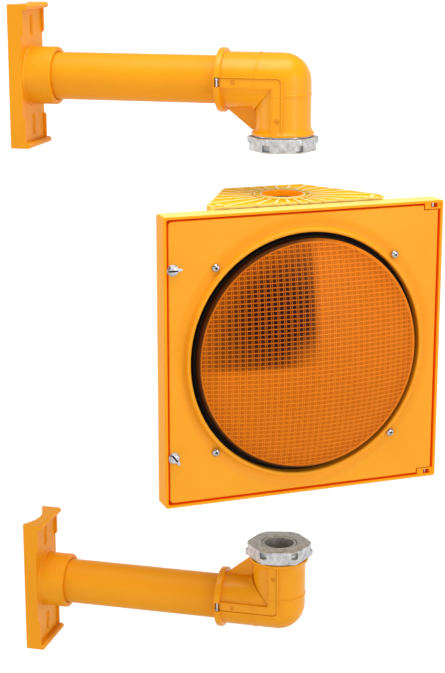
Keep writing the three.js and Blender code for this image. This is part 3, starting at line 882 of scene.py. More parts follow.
def corner_bar(low, high, y0, y1, corner, side):
    """An L-shaped bar beside the parting line; low and high are its distances out from the line."""
    start = -ELBOW["start"] + ELBOW["ring"] - 1
    bottom = -ELBOW["foot"] + 3
    inner = max(corner - (high - low), 0.8)
    outline = fillet([
        (start, low), (low, low, inner), (low, bottom), (high, bottom), (high, high, corner), (start, high),
    ], steps=8)
    return softened(prism("y", outline, *span(side, y0, y1)), 0.5, 40)


def collar_window():
    """The pocket in the collar that shows the clamping screw on the near side."""
    start = -ELBOW["start"]
    return box(start + 1.5, start + ELBOW["ring"] + 0.4, -ELBOW["collar"] - 1, -33.4, -5.8, 5.8)


def band_screw_holes():
    return [rod("y", 2.45 + GAP, -40, -30.5, x, z, 32) for x, z in BAND_SCREWS]


def elbow_inner():
    r = ELBOW["inner"]
    start = r + 4
    corner = [tight_corner(math.pi / 2 * k / 6) for k in range(7)]
    shell = half_shell(-1, start, collar_profile(r) + [(-start, r)], corner, [(start, r)] + flare_profile(r))
    shell = moved(shell, -GAP / 2, 0, -GAP / 2)
    half, face = BAND["half"], BAND["face"]
    extras = [elbow_gusset()]
    for side in (-1, 1):
        extras.append(corner_bar(-half + 0.4, -GAP / 2, 29.5, 34.6, 0.9, side))
        extras.append(corner_bar(-half + 0.4, half - 1.9, 34.15, face, 5.2, side))
        extras.append(corner_bar(-half, -half + 1.2, 31, face + 0.8, 1.8, side))
        extras += band_ribs(side)
    return cut(join(shell, *extras), collar_window(), *band_screw_holes())


def band_ribs(side):
    """The two thin ribs where the elbow's rings cross the flat band."""
    low, high = -BAND["half"] + 0.6, BAND["half"] - 2.0
    y = span(side, 34.5, BAND["face"] + 0.6)
    bars = [box(-28.4, -26.6, *y, low, high), box(low, high, *y, -15.9, -14.1)]
    return [softened(bar, 0.35, 40) for bar in bars]


def elbow_gusset():
    outline = fillet([(-70, -30), (-28, -30), (-28, -59.5), (-38, -59.5, 2), (-70, -34, 2)])
    return softened(prism("y", outline, -2, 2), 0.7, 40)


def band_screw(x, z):
    """A low round boss with a dimple, flush in the band."""
    end = -BAND["edge"] + 0.5
    profile = fillet([
        (0, -31.4), (2.45, -31.4), (2.45, end, 0.7), (1.1, end, 0.5), (0.9, end + 1.6), (0, end + 1.8),
    ])
    return moved(turned("y", profile, 32), x, 0, z)


def collar_screw():
    x = -ELBOW["start"] + ELBOW["ring"] / 2 + 0.2
    profile = fillet([(0, -5.6), (1.4, -5.6, 0.3), (1.4, 3), (2.4, 3, 0.2), (2.4, 4.6, 0.8), (0, 5.5)])
    screw = moved(turned("z", profile, 24), x, -36.2, 0)
    return cut(screw, box(x - 3, x + 3, -36.5, -35.9, 4.6, 6))


def nipple():
    """The pipe with its helical thread."""
    turns = 72
    pitch, r, bore = NIPPLE["pitch"], NIPPLE["r"], NIPPLE["bore"]
    top, bottom = NIPPLE["top"], NIPPLE["bottom"]
    rows = 5 * int((bottom - top) / pitch)

    def section(k):
        column = []
        for row in range(rows + 1):
            down = top + (bottom - top) * row / rows
            phase = (down / pitch + k / turns) % 1.0
            ends = min(1.0, row / 5, (rows - row) / 5)
            groove = 0.9 * ends * abs(2 * phase - 1)
            column.append((r - (1.0 - ends) * 0.8 - groove, -down))
        return column + [(bore, -bottom), (bore, -top)]

    return swept("z", section, turns)


def washer():
    top = -ELBOW["foot"] - GAP
    inner = NIPPLE["r"] + GAP
    low = top - WASHER["thick"]
    r = WASHER["r"]
    return turned("z", fillet([(inner, low, 0.2), (r, low, 0.5), (r, top, 0.3), (inner, top, 0.2)]))


def roughened(ob, depth, scale, keep=None):
    """Moves the surface in and out a little, as a sand-cast or die-cast skin is."""
    mesh = ob.data
    normals = [vertex.normal.copy() for vertex in mesh.vertices]
    places = [vertex.co.copy() for vertex in mesh.vertices]
    for place, normal in zip(places, normals):
        if keep is None or not keep(place):
            place += normal * depth * noise.noise(place * scale)
    mesh.vertices.foreach_set("co", [value for place in places for value in place])
    mesh.update()
    return ob


def nut():
    """Hexagonal locknut with a square notch in each corner, remade as one rough casting."""
    top = -ELBOW["foot"] - WASHER["thick"] - 2 * GAP
    bottom = top - NUT["thick"]
    corner = NUT["flats"] / 2 / math.cos(math.pi / 6)
    body = rod("z", corner, bottom, top, steps=6)
    limit = turned("z", [
        (0, bottom), (corner - 3.4, bottom), (corner - 0.6, bottom + 3), (corner - 0.6, top), (0, top),
    ])
    body = common(body, limit)
    body = cut(body, rod("z", NIPPLE["r"] + GAP + 0.15, bottom - 1, top + 1, steps=FINE))
    z0 = bottom + NUT["web"]
    for k in range(6):
        pocket = box(corner - 8, corner + 2, -NUT["notch"] / 2, NUT["notch"] / 2, z0, z0 + NUT["deep"])
        body = cut(body, spun(pocket, "Z", 60 * k))
    remade = body.modifiers.new("remade", "REMESH")
    remade.mode = "VOXEL"
    remade.voxel_size = 0.62
    smooth = body.modifiers.new("smooth", "SMOOTH")
    smooth.factor = 0.5
    smooth.iterations = 3
    body = applied(body)

    def in_bore(co):
        return math.hypot(co.x, co.y) < NIPPLE["r"] + 1.5

    body = roughened(body, 0.22, 0.35, in_bore)
    body = roughened(body, 0.10, 1.3, in_bore)
    return spun(body, "Z", NUT["turn"])


# ---- head pieces ----
def column_outline(inset):
    """The six-sided plan of the head's back column, shrunk by an inset."""
    slope = math.hypot(PLATE["wide"] - PLATE["narrow"], PLATE["back"] - PLATE["knee"])
    deep = PLATE["back"] - PLATE["knee"]
    side = inset * slope / deep
    wide = PLATE["wide"] - inset
    back = PLATE["back"] - inset
    taper = (PLATE["wide"] - PLATE["narrow"]) / deep
    narrow = PLATE["wide"] - side - (back - PLATE["knee"]) * taper
    knee = PLATE["knee"] + (inset - side) / taper
    front = RIM["floor"] - 1 if inset else PLATE["front"] - 1
    r = max(4 - inset, 1)
    return fillet([
        (-wide, F + front), (wide, F + front), (wide, F + knee, r), (narrow, F + back, r),
        (-narrow, F + back, r), (-wide, F + knee, r),
    ])


def bowl(inset):
    front = RIM["floor"] - 1 if inset else PLATE["front"] - 1
    back = 118 - inset
    return turned("y", fillet([
        (0, F + front), (158 - inset, F + front), (157 - inset, F + 36, 6), (149 - inset, F + 62, 40),
        (96 - inset, F + 112 - inset, 16), (86 - inset, F + back, 4), (0, F + back),
    ], steps=8))


def distance_to_edge(outline, angle):
    """How far a ray from the swivel axis runs before it meets the outline."""
    ray = Vector((math.cos(angle), math.sin(angle)))
    nearest = None
    for a, b in zip(outline, outline[1:] + outline[:1]):
        a, b = Vector(a), Vector(b)
        side = b - a
        across = ray.x * side.y - ray.y * side.x
        if abs(across) < 1e-9:
            continue
        reach = (a.x * side.y - a.y * side.x) / across
        share = (a.x * ray.y - a.y * ray.x) / across
        if reach > 0 and -1e-6 <= share <= 1 + 1e-6:
            nearest = reach if nearest is None else min(nearest, reach)
    return nearest


def plate_ribs():
    """The ribs that run from the ring to the edge of the top plate, two small bosses and the raised edge."""
    low = PLATE["z"] - 1
    high = PLATE["z"] + RIB["rise"]
    edge = column_outline(1.2)
    half = RIB["width"] / 2
    pieces = []
    for k in range(RIB["count"]):
        angle = 2 * math.pi * k / RIB["count"]
        end = distance_to_edge(edge, angle)
        section = fillet([(-half, low), (half, low), (half, high, 0.45), (-half, high, 0.45)], steps=3)
        bar = prism("x", section, RIB["start"], end)
        pieces.append(spun(bar, "Z", math.degrees(angle)))
    for side in (-1, 1):
        profile = fillet([
            (0, low), (3.6, low), (3.4, high + 0.6, 0.8),
            (1.6, high + 0.6, 0.3), (1.4, high - 0.8), (0, high - 0.8),
        ])
        pieces.append(moved(turned("z", profile, 32), side * BOSS["x"], F + BOSS["back"], 0))
    border = prism("z", column_outline(0), low, high)
    border = cut(border, prism("z", column_outline(2.4), low - 1, high + 1))
    pieces.append(softened(border, 0.4, 40))
    return pieces


def rounded_plate(half, tall, corner, y0, y1, edge=0.0, steps=6):
    """A flat plate across the head, its four corners rounded, and its edges too if edge is given."""
    plate = prism("y", rectangle(-half, half, -tall, tall, corner, steps), y0, y1)
    return softened(plate, edge, 40, 3) if edge else plate


def housing():
    z = PLATE["z"]
    wall = RIM["wall"]
    rim = rounded_plate(RIM["half"], RIM["tall"], 3.5, F, F + RIM["depth"], 1.0)
    column = softened(prism("z", column_outline(0), -z, z), 1.0, 60)
    shell = join(rim, bowl(0), column)
    mouth = rounded_plate(RIM["half"] - wall, RIM["tall"] - wall, 2.5, F - 1, F + RIM["floor"])
    hollow = prism("z", column_outline(WALL), -z + WALL, z - WALL)
    shell = cut(shell, mouth, bowl(WALL), hollow)
    top = plate_ribs()
    bottom = [mirrored(rib, "z") for rib in top]
    shell = join(shell, *top, *bottom, seal_rib(), *catches(), *posts(), *hinge_lugs())
    holes = [rod("z", RING["spigot"] + GAP, side * z - 9, side * z + 9, steps=FINE) for side in (-1, 1)]
    pins = rod("z", HINGE["r"] + GAP, -z + 4, z - 4, HINGE["x"], F + HINGE["back"], 24)
    return cut(shell, *holes, pins)


def hinge_lugs():
    """The block that fills each notch of the door, with a window on the pin."""
    x0, x1 = HINGE["notch_x"] + 1.8, RIM["half"] - RIM["wall"] + 0.5
    z0, z1 = HINGE["notch_z"] + 1.0, RIM["tall"] - RIM["wall"] + 0.5
    lugs = []
    for side in (1, -1):
        lug = softened(box(x0, x1, F + 0.9, F + 11, *span(side, z0, z1)), 0.4, 40)
        window = box(HINGE["x"] - 4.5, HINGE["x"] + 4.5, F, F + 12, *span(side, z0 + 2.0, z1 + 1))
        lugs.append(cut(lug, window))
    return lugs


def seal_rib():
    """The upright edge inside the rim that the door's seal presses on."""
    x, z = SEAL["x"], SEAL["z"]
    rib = rounded_plate(x, z, 4, F + SEAL["back"] + GAP, F + RIM["floor"] + 1, 0.5)
    return cut(rib, rounded_plate(x - 2.5, z - 2.5, 4, F, F + RIM["floor"] + 2))


def catches():
    """The ledges on the rim's left wall that the latch cams turn in behind."""
    x0, x1 = -RIM["half"] + 1, -LATCH["x"] - 3.5
    y0, y1 = F + 13, F + LATCH["cam_back"] - 0.5
    return [softened(box(x0, x1, y0, y1, s * LATCH["z"] - 6, s * LATCH["z"] + 6), 0.5, 40) for s in (-1, 1)]


def posts():
    """The four posts that the reflector's ears are screwed to."""
    y0 = F + DISH["front"] + DISH["sheet"] + GAP
    spots = [(sx * DISH["post"], sz * DISH["post"]) for sx, sz in CORNERS]
    return [rod("y", 4.5, y0, F + RIM["floor"] + 1, x, z, 32) for x, z in spots]


def door_angles():
    """Directions from the door's centre: even all round, and close together at the rounded corners."""
    angles = {round(360 * k / 160, 4) for k in range(160)}
    corner = math.degrees(math.atan2(DOOR["tall"], DOOR["half"]))
    for base in (corner, 180 - corner, 180 + corner, 360 - corner):
        angles |= {round(base + 0.33 * k, 4) for k in range(-4, 5)}
    return [math.radians(a) for a in sorted(angles)]


def square_reach(angle, half, tall, corner):
    """How far the edge of a rectangle with rounded corners lies in one direction."""
    c, s = abs(math.cos(angle)), abs(math.sin(angle))
    reach = min(half / c if c > 1e-9 else 1e9, tall / s if s > 1e-9 else 1e9)
    x, z = reach * c, reach * s
    cx, cz = half - corner, tall - corner
    if x > cx and z > cz:
        b = cx * c + cz * s
        reach = b + math.sqrt(max(b * b - (cx * cx + cz * cz - corner * corner), 0))
    return reach


def around_door(section):
    """Skins a closed section round the door; section(angle) gives (reach, depth) points.

    The opening is centred on the head, and the leaf's edge a little to one side of it."""

    def shift(r):
        return DOOR["shift"] * min(1, max(0, (r - 150) / 20))

    rings = []
    for angle in door_angles():
        c, s = math.cos(angle), math.sin(angle)
        rings.append([(r * c + shift(r), F + d, r * s) for r, d in section(angle)])
    return loft(rings, round_trip=True)


def door_section(angle):
    """From the back of the opening, over the lip, across the sunk ring and the flat, and round the skirt."""
    half, tall, corner = DOOR["half"], DOOR["tall"], DOOR["corner"]
    front, skirt = DOOR["front"], DOOR["skirt"]
    back = front + DOOR["thick"]
    bore, lip, sunk = OPENING["r"], OPENING["lip"], OPENING["sunk"]
    points = fillet([
        (bore, OPENING["behind"]), (bore, -OPENING["proud"], 2.2), (lip - 1.2, -OPENING["proud"], 2.0),
        (lip + 0.9, front + sunk - 0.6, 1.0), (lip + 3, front + sunk),
    ], closed=False, steps=5)
    dish = OPENING["dish"]
    for k in range(1, 9):
        t = k / 8
        ease = t * t * (3 - 2 * t)
        points.append((lip + 3 + (dish - lip - 3) * t, front + sunk * (1 - ease)))
    edge = 1.6
    for k in range(6):
        t = math.pi / 2 * k / 5
        inset = edge * (1 - math.sin(t))
        reach = square_reach(angle, half - inset, tall - inset, corner - inset)
        points.append((reach, front + edge * (1 - math.cos(t))))
    inner = square_reach(angle, half - 2.5, tall - 2.5, 2.5)
    return points + [
        (square_reach(angle, half, tall, corner), skirt - 0.4),
        (square_reach(angle, half - 0.4, tall - 0.4, corner - 0.4), skirt),
        (square_reach(angle, half - 2.4, tall - 2.4, 2.6), skirt),
        (inner, back),
        (min(dish, inner - 0.5), back),
        (lip + 4, back + sunk),
        (lip + 0.3, back + sunk + 0.4),
        (lip, OPENING["behind"]),
    ]


def door():
    x, depth = HINGE["x"], F + HINGE["back"]
    notches, knuckles, holes = [], [], []
    for side in (-1, 1):
        notch = span(side, HINGE["notch_z"], DOOR["tall"] + 1)
        notches.append(box(HINGE["notch_x"], DOOR["half"] + 2, F - 1, F + 13, *notch))
        knuckle = span(side, HINGE["knuckle_z"], HINGE["notch_z"])
        knuckles.append(rod("z", HINGE["knuckle"], *knuckle, x, depth, 32))
        holes.append(rod("z", HINGE["r"] + GAP, *span(side, *HINGE["hole"]), x, depth, 24))
        holes.append(rod("y", LATCH["shaft"] + GAP, F - 3, F + 7, -LATCH["x"], side * LATCH["z"], 24))
    holes += [rod("y", 2 + GAP, F - 3, F + 9, sx * SCREW_AT[0], sz * SCREW_AT[1], 24) for sx, sz in CORNERS]
    return cut(join(cut(around_door(door_section), *notches), *knuckles), *holes)


def door_seal():
    """A rubber strip with a rounded back, which meets the seal edge of the housing."""
    x, z = SEAL["x"] + 0.2, SEAL["z"] + 0.2
    front = DOOR["front"] + DOOR["thick"] + GAP
    back = SEAL["back"]
    width = SEAL["width"] - 0.4
    levels = [(0.0, front), (0.0, front + 2.2), (0.5, back - 1), (1.3, back), (width - 1.3, back),
              (width - 0.5, back - 1), (width, front + 2.2), (width, front)]

    def section(angle):
        return [(square_reach(angle, x - inset, z - inset, 5), depth) for inset, depth in levels]

    return around_door(section)


def sphere_centre():
    """Radius of the lens dome, and how far back its centre lies from the front plane."""
    sagitta = LENS["crown"] - LENS["shoulder"]
    radius = (LENS["r"] ** 2 + sagitta ** 2) / (2 * sagitta)
    return radius, radius - LENS["crown"]


def in_amber(ob):
    """Gives a piece of the lens both amber materials, the plain one and the painted-shade copy for the
    cells, so that a join keeps each face's own.
    """
    ob.data.materials.append(AMBER)
    ob.data.materials.append(AMBER_CELL_SHADE)
    return ob


def prism_lines(pitch, pairs, radius, reach):
    """Positions across the dome with their share of the rib height, as angles from the centre line.

    Each pitch holds the given ribs as (start, end) shares of the pitch."""
    lines = []
    count = math.ceil(reach / pitch)
    slope = 0.035
    for k in range(-count, count):
        for start, end in pairs:
            for share, height in ((start, 0.0), (start + slope, 1.0), (end - slope, 1.0), (end, 0.0)):
                lines.append(((k + share) * pitch / radius, height))
    return lines


def lens_patch():
    """The domed face: a curved sheet covered in a grid of fine prisms, on lines that meet at its poles."""
    radius, back = sphere_centre()
    columns = prism_lines(PRISM["column"], ((0.0, 0.13), (0.28, 0.41)), radius, LENS["r"] + 8)
    rows = prism_lines(PRISM["row"], ((0.1, 0.36),), radius, LENS["r"] + 8)
    bm = bmesh.new()

    def vertex(a, b, r):
        way = Vector((math.tan(a), -1.0, math.tan(b))).normalized()
        return bm.verts.new(Vector((0, F + back, 0)) + way * r)

    rise = PRISM["rise"]
    front = [[vertex(a, b, radius - rise + rise * max(ha, hb)) for b, hb in rows] for a, ha in columns]
    behind = [[vertex(a, b, radius - LENS["thick"]) for b, _ in rows] for a, _ in columns]
    for i in range(len(columns) - 1):
        for j in range(len(rows) - 1):
            face = bm.faces.new((front[i][j], front[i + 1][j], front[i + 1][j + 1], front[i][j + 1]))
            on_rib = columns[i][1] + columns[i + 1][1] > 0 or rows[j][1] + rows[j + 1][1] > 0
            # painted shade: the cells between the ridges take the darker amber
            face.material_index = 0 if on_rib else 1
            bm.faces.new((behind[i][j], behind[i][j + 1], behind[i + 1][j + 1], behind[i + 1][j]))
    last_i, last_j = len(columns) - 1, len(rows) - 1
    for i in range(last_i):
        bm.faces.new((front[i][0], behind[i][0], behind[i + 1][0], front[i + 1][0]))
        bm.faces.new((front[i][last_j], front[i + 1][last_j], behind[i + 1][last_j], behind[i][last_j]))
    for j in range(last_j):
        bm.faces.new((front[0][j], front[0][j + 1], behind[0][j + 1], behind[0][j]))
        bm.faces.new((front[last_i][j], behind[last_i][j], behind[last_i][j + 1], front[last_i][j + 1]))
    patch = in_amber(new_object(bm))
    return common(patch, in_amber(rod("y", LENS["patch"], F - 70, F + 20, steps=192)))


def lens_rim():
    """The smooth rim of the lens, from the dome's edge over the shoulder to the flange."""
    radius, back = sphere_centre()

    def dome(r, sphere):
        return back - math.sqrt(sphere * sphere - r * r)

    r, t = LENS["r"], LENS["thick"]
    inner = LENS["patch"] - 1.0
    flange_back = F + GAP + t
    profile = fillet([
        (inner, F + dome(inner, radius)),
        (r, F + dome(r, radius), 3.0),
        (r, F + GAP),
        (LENS["flange"], F + GAP, 0.4),
        (LENS["flange"], flange_back, 0.4),
        (r - t, flange_back, 0.4),
        (r - t, F + dome(r - t, radius - t) + 0.5, 1.5),
        (inner, F + dome(inner, radius - t)),
    ], steps=5)
    return in_amber(turned("y", profile, 192))


def gate_mark():
    """The small round moulding mark at the middle of the dome."""
    crown = F - LENS["crown"]
    profile = fillet([
        (2.6, crown + 0.8), (2.6, crown - 0.25, 0.1), (3.2, crown - 0.25, 0.1), (3.2, crown + 0.8),
    ])
    return in_amber(turned("y", profile, 48))


def lens():
    return join(lens_rim(), lens_patch(), gate_mark())


def lens_gasket():
    """A rubber ring with a bead that holds the lens, and a shelf deep inside the lip."""
    inner, outer = LENS["r"] + GAP, OPENING["r"] - GAP
    bead = inner + 2.6
    groove = LENS["flange"] + GAP
    return turned("y", fillet([
        (inner, F - 1.6, 0.8), (bead, F - 1.6, 0.9), (bead + 0.6, F + 5.5, 0.4), (outer, F + 5.5, 0.4),
        (outer, F + 8, 0.5), (groove, F + 8, 0.5), (groove, F + 0.05), (inner, F + 0.05),
    ], steps=3), 192)


def recessed(ob, *tools):
    """Cuts tools out of a steel piece and gives the cut faces the painted shade of a recess."""
    for piece in (ob, *tools):
        piece.data.materials.append(STEEL)
        piece.data.materials.append(RECESS_SHADE)
    for tool in tools:
        for face in tool.data.polygons:
            face.material_index = 1
    return cut(ob, *tools)


def cross_recess(x, y, z, turn):
    """The tapered cross of a screwdriver recess, cut along +Y."""
    arms = []
    for quarter in (0, 90):
        rings = []
        for depth, wide, thick in ((-1.0, 3.3, 0.85), (2.0, 1.4, 0.40)):
            rings.append([(u, depth, v) for u, v in rectangle(-wide, wide, -thick, thick)])
        arms.append(moved(spun(loft(rings, caps=True), "Y", quarter + turn), x, y, z))
    return arms


def pan_screw(x, z, turn):
    """A pan-head screw with a cross recess, on the door's face."""
    seat = F + DOOR["front"] + 0.15
    top = seat - 3.1
    profile = fillet([
        (0, F + 12.4), (1.5, F + 12.4, 0.3), (2, F + 11.6), (2, seat),
        (4.9, seat, 0.2), (4.9, seat - 1.3, 1.4), (3.3, top + 0.35, 2.4), (0, top),
    ], steps=5)
    screw = moved(turned("y", profile, 48), x, 0, z)
    return recessed(screw, *cross_recess(x, top, z, turn))


def lens_clamp(sx, sz):
    """A folded steel bar behind the door that holds the lens in its gasket."""
    turn = math.degrees(math.atan2(sz * SCREW_AT[1], sx * SCREW_AT[0]))
    reach = math.hypot(*SCREW_AT)
    bar = softened(box(LENS["r"] - 4, reach + 5, F + 10.2, F + 11.8, -6, 6), 0.5, 40)
    toe = softened(box(LENS["r"] - 4, LENS["r"] - 1, F + 3.9, F + 11.0, -6, 6), 0.5, 40)
    bar = cut(join(bar, toe), rod("y", 2 + GAP, F, F + 20, reach, 0, 24))
    return spun(bar, "Y", -turn)


def latch(side):
    """A slotted quarter-turn stud on a washer with a pointed finger lever."""
    x, z = -LATCH["x"], side * LATCH["z"]
    turn = 0 if side > 0 else LATCH["lower_lean"]
    seat = F + DOOR["front"] - GAP
    low = seat - 1.3
    r = LATCH["r"]
    head = turned("y", fillet([
        (0, low + 0.3), (r - 1.2, low + 0.3),
        (r - 0.2, low - 1.2, 0.5), (r - 0.2, low - 3.4, 1.3), (0, low - 4.0),
    ]), 48)
    head = recessed(head, box(-9, 9, low - 6, low - 1.7, -1.1, 1.1))
    tip = fillet([(0, -2.4), (9, -2.2, 4), (13.2, 0, 0.8), (9, 2.2, 4), (0, 2.4)])
    lever = softened(prism("y", tip, low, seat), 0.35, 40)
    plate = turned("y", fillet([(0, low), (r + 1, low, 0.5), (r + 1, seat, 0.3), (0, seat)]), 48)
    body = spun(join(head, plate, lever), "Y", turn)
    thin, end = LATCH["shaft"], F + LATCH["cam_back"] + 2.6
    shaft = turned("y", fillet([(0, F - 1), (thin, F - 1), (thin, end, 0.5), (0, end)]), 32)
    return moved(join(body, shaft), x, 0, z)


def latch_cam(side):
    y0 = F + LATCH["cam_back"]
    hub = rod("y", 4, y0, y0 + 2, steps=32)
    tip = -6.8 * side
    tongue = prism("y", fillet([(-2.2, 0), (-2.2, tip, 1.2), (2.2, tip, 1.2), (2.2, 0)]), y0, y0 + 2)
    cam = softened(join(hub, tongue), 0.3, 40)
    cam = cut(cam, rod("y", LATCH["shaft"] + 0.1, y0 - 1, y0 + 3, steps=24))
    return moved(cam, -LATCH["x"], 0, side * LATCH["z"])


def hinge_pin(side):
    low, high = span(side, HINGE["pin_low"], HINGE["pin_top"])
    r = HINGE["r"]
    pin = turned("z", fillet([(0, low), (r, low, 0.5), (r, high, 0.5), (0, high)]), 32)
    return moved(pin, HINGE["x"], F + HINGE["back"], 0)


def index_ring(side):
    """The ring in the head's top or bottom hole: two raised edges with fine teeth between them."""
    seat = PLATE["z"] + GAP
    top = seat + RING["rise"]
    low = PLATE["z"] - WALL - 2
    bore, spigot, r = RING["bore"], RING["spigot"], RING["r"]

    def section(k):
        tooth = top - (0.75 if k % 4 in (0, 1) else 1.25)
        profile = [
            (bore, low + 0.5), (bore + 0.5, low), (spigot - 0.5, low), (spigot, low + 0.5), (spigot, seat),
            (r, seat), (r, top - 0.6), (r - 0.5, top), (r - 1.4, top), (r - 1.8, top - 0.4),
            (r - 2.2, tooth), (bore + 3.4, tooth),
            (bore + 3.0, top - 0.4), (bore + 2.6, top), (bore + 0.6, top), (bore, top - 0.6),
        ]
        return [(p, side * h) for p, h in profile]

    return swept("z", section, RING["teeth"] * 4)


def reflector():
    """The spun dish with its rolled rim and four fixing ears."""
    depth = DISH["vertex"] - DISH["front"]

    def at(r):
        return F + DISH["vertex"] - depth * (r / DISH["r"]) ** 2

    radii = [DISH["neck"] + (DISH["r"] - DISH["neck"]) * k / 24 for k in range(25)]
    sheet, front = DISH["sheet"], F + DISH["front"]
    profile = [(r + sheet * 0.6, at(r) + sheet) for r in radii[:-1]]
    rim = DISH["rim"]
    profile += [(DISH["r"] + 2, front + sheet), (rim - 1, front + sheet)]
    profile += [(rim, front + sheet / 2), (rim - 1, front)]
    profile += [(DISH["r"] + 1.2, front), (DISH["r"] - 0.6, front + 0.8)]
    profile += [(r, at(r)) for r in reversed(radii[:-1])]
    dish = turned("y", profile, 128)
    start, end = DISH["ear"]
    ears = []
    for angle in (45, 135, 225, 315):
        ear = prism("y", fillet([(start, -8), (end, -6, 5), (end, 6, 5), (start, 8)]), front, front + sheet)
        ears.append(spun(ear, "Y", angle))
    dish = join(dish, *ears)
    holes = [rod("y", 2 + GAP, F, F + 40, sx * DISH["post"], sz * DISH["post"], 24) for sx, sz in CORNERS]
    return cut(dish, *holes)


def dish_screw(sx, sz, turn):
    x, z = sx * DISH["post"], sz * DISH["post"]
    top = F + DISH["front"] - GAP
    profile = fillet([
        (0, top + 1.6), (2, top + 1.6), (2, top), (3.6, top, 0.2), (3.6, top - 1.0, 0.8), (0, top - 1.9),
    ])
    screw = moved(turned("y", profile, 32), x, 0, z)
    return recessed(screw, *cross_recess(x, top - 1.6, z, turn))


def lamp_holder():
    y = F + DISH["vertex"]
    return turned("y", fillet([
        (14.4, y - 4, 0.8), (18, y - 4, 0.8), (18, y + 4, 0.5),
        (27, y + 4, 1), (27, y + 7, 1), (20, y + 7, 0.5),
        (20, y + 34, 2), (0, y + 34), (0, y + 30), (14.4, y + 30),
    ]), 64)


def bulb_glass():
    """A thin pear-shaped envelope, open at its neck."""
    y = F + DISH["vertex"] - 4
    outer = fillet([
        (0, y - 62), (22, y - 62, 22), (31, y - 38, 26), (25, y - 18, 24), (13, y - 6, 10), (13, y + 2),
    ], closed=False, steps=10)
    inner = [(max(r - 0.7, 0), h + (0.7 if r < 1 else 0.2)) for r, h in outer]
    return turned("y", outer + [(12.3, y + 2)] + list(reversed(inner[:-1])), 64)


def bulb_filament():
    """The glass stem with its two support wires and coiled filament."""
    y = F + DISH["vertex"] - 4
    parts = [turned("y", fillet([(0, y - 18), (2.2, y - 16, 1), (3.4, y + 1), (0, y + 1)]), 24)]
    for side in (-1, 1):
        lean = 7.0
        rings = []
        for k in range(13):
            t = k / 12
            centre = Vector((side * (1.2 + (lean - 1.2) * t), y - 16 - 18 * t, 0))
            rings.append([centre + Vector((0.35 * math.cos(a), 0, 0.35 * math.sin(a)))
                          for a in [math.pi * j / 4 for j in range(8)]])
        parts.append(loft(rings, caps=True))
    coil = []
    turns = 16
    for k in range(turns * 12 + 1):
        a = 2 * math.pi * k / 12
        x = -7 + 14 * k / (turns * 12)
        centre = Vector((x, y - 34 + 0.7 * math.cos(a), 0.7 * math.sin(a)))
        out = Vector((0, math.cos(a), math.sin(a)))
        coil.append([centre + out * 0.16 * math.cos(b) + Vector((0.16 * math.sin(b), 0, 0))
                     for b in [math.pi * j / 3 for j in range(6)]])
    parts.append(loft(coil, caps=True))
    return join(parts[0], *parts[1:])


def bulb_base():
    """The screw cap of the lamp, with its rolled thread and end contact."""
    y = F + DISH["vertex"] - 2 + GAP
    steps, rows = 48, 36

    def section(k):
        column = [(0, y), (12.4, y)]
        for row in range(rows + 1):
            h = 24 * row / rows
            wave = 0.5 * (1 + math.cos(2 * math.pi * (h / 6 + k / steps)))
            fade = min(1.0, row / 4, (rows - row) / 4)
            column.append((13.4 - 0.9 * wave * fade, y + h))
        return column + [(7, y + 27), (5, y + 28), (0, y + 28)]

    return swept("y", section, steps)


def terminal_block():
    y1 = F + PLATE["back"] - WALL - GAP
    block = softened(box(-36, 36, y1 - 16, y1, -96, -76), 0.8, 40)
    tools = []
    for i in range(-2, 3):
        x = i * TERMINAL["pitch"]
        tools.append(rod("y", 3.2, y1 - 17, y1 - 8, x, TERMINAL["z"], 32))
        tools.append(box(x - 2.6, x + 2.6, y1 - 11, y1 - 5, -97, -92))
    for i in (-1.5, -0.5, 0.5, 1.5):
        x = i * TERMINAL["pitch"]
        tools.append(box(x - 0.7, x + 0.7, y1 - 17, y1 - 13, -97, -75))
    return cut(block, *tools)


def terminal_screws():
    y1 = F + PLATE["back"] - WALL - GAP
    screws = []
    for i in range(-2, 3):
        profile = fillet([(0, y1 - 8.2), (2.9, y1 - 8.2), (2.9, y1 - 10.4, 0.6), (0, y1 - 10.8)])
        screw = turned("y", profile, 24)
        slotted = cut(screw, box(-4, 4, y1 - 12, y1 - 9.8, -0.4, 0.4))
        screws.append(moved(slotted, i * TERMINAL["pitch"], 0, TERMINAL["z"]))
    return join(screws[0], *screws[1:])


# ---- assembly ----
def both_arms(local, name, look, body="arm", sharp=32):
    """Puts a copy of a local arm piece on each arm; the lower one is a mirror picture."""
    for side, place in ARMS.items():
        piece = local.copy()
        piece.data = local.data.copy()
        bpy.context.scene.collection.objects.link(piece)
        node = f"{side}_{name}"
        finished(piece, f"{node}_fine", place, f"{side}_{body}", look, [node], sharp)
    bpy.data.objects.remove(local)


def build_arms():
    both_arms(arm_foot(), "foot", PAINT)
    both_arms(arm_tube(), "tube", PAINT)
    both_arms(elbow_outer(), "elbow_outer", PLASTIC)
    both_arms(elbow_inner(), "elbow_inner", PLASTIC)
    for i, place in enumerate(BAND_SCREWS, 1):
        both_arms(band_screw(*place), f"elbow_screw_{i}", PLASTIC)
    both_arms(collar_screw(), "collar_screw", STEEL)
    both_arms(nipple(), "nipple", CASTING, sharp=50)
    both_arms(washer(), "washer", STEEL, "washer_body")
    both_arms(nut(), "nut", CASTING, "nut_body", 60)


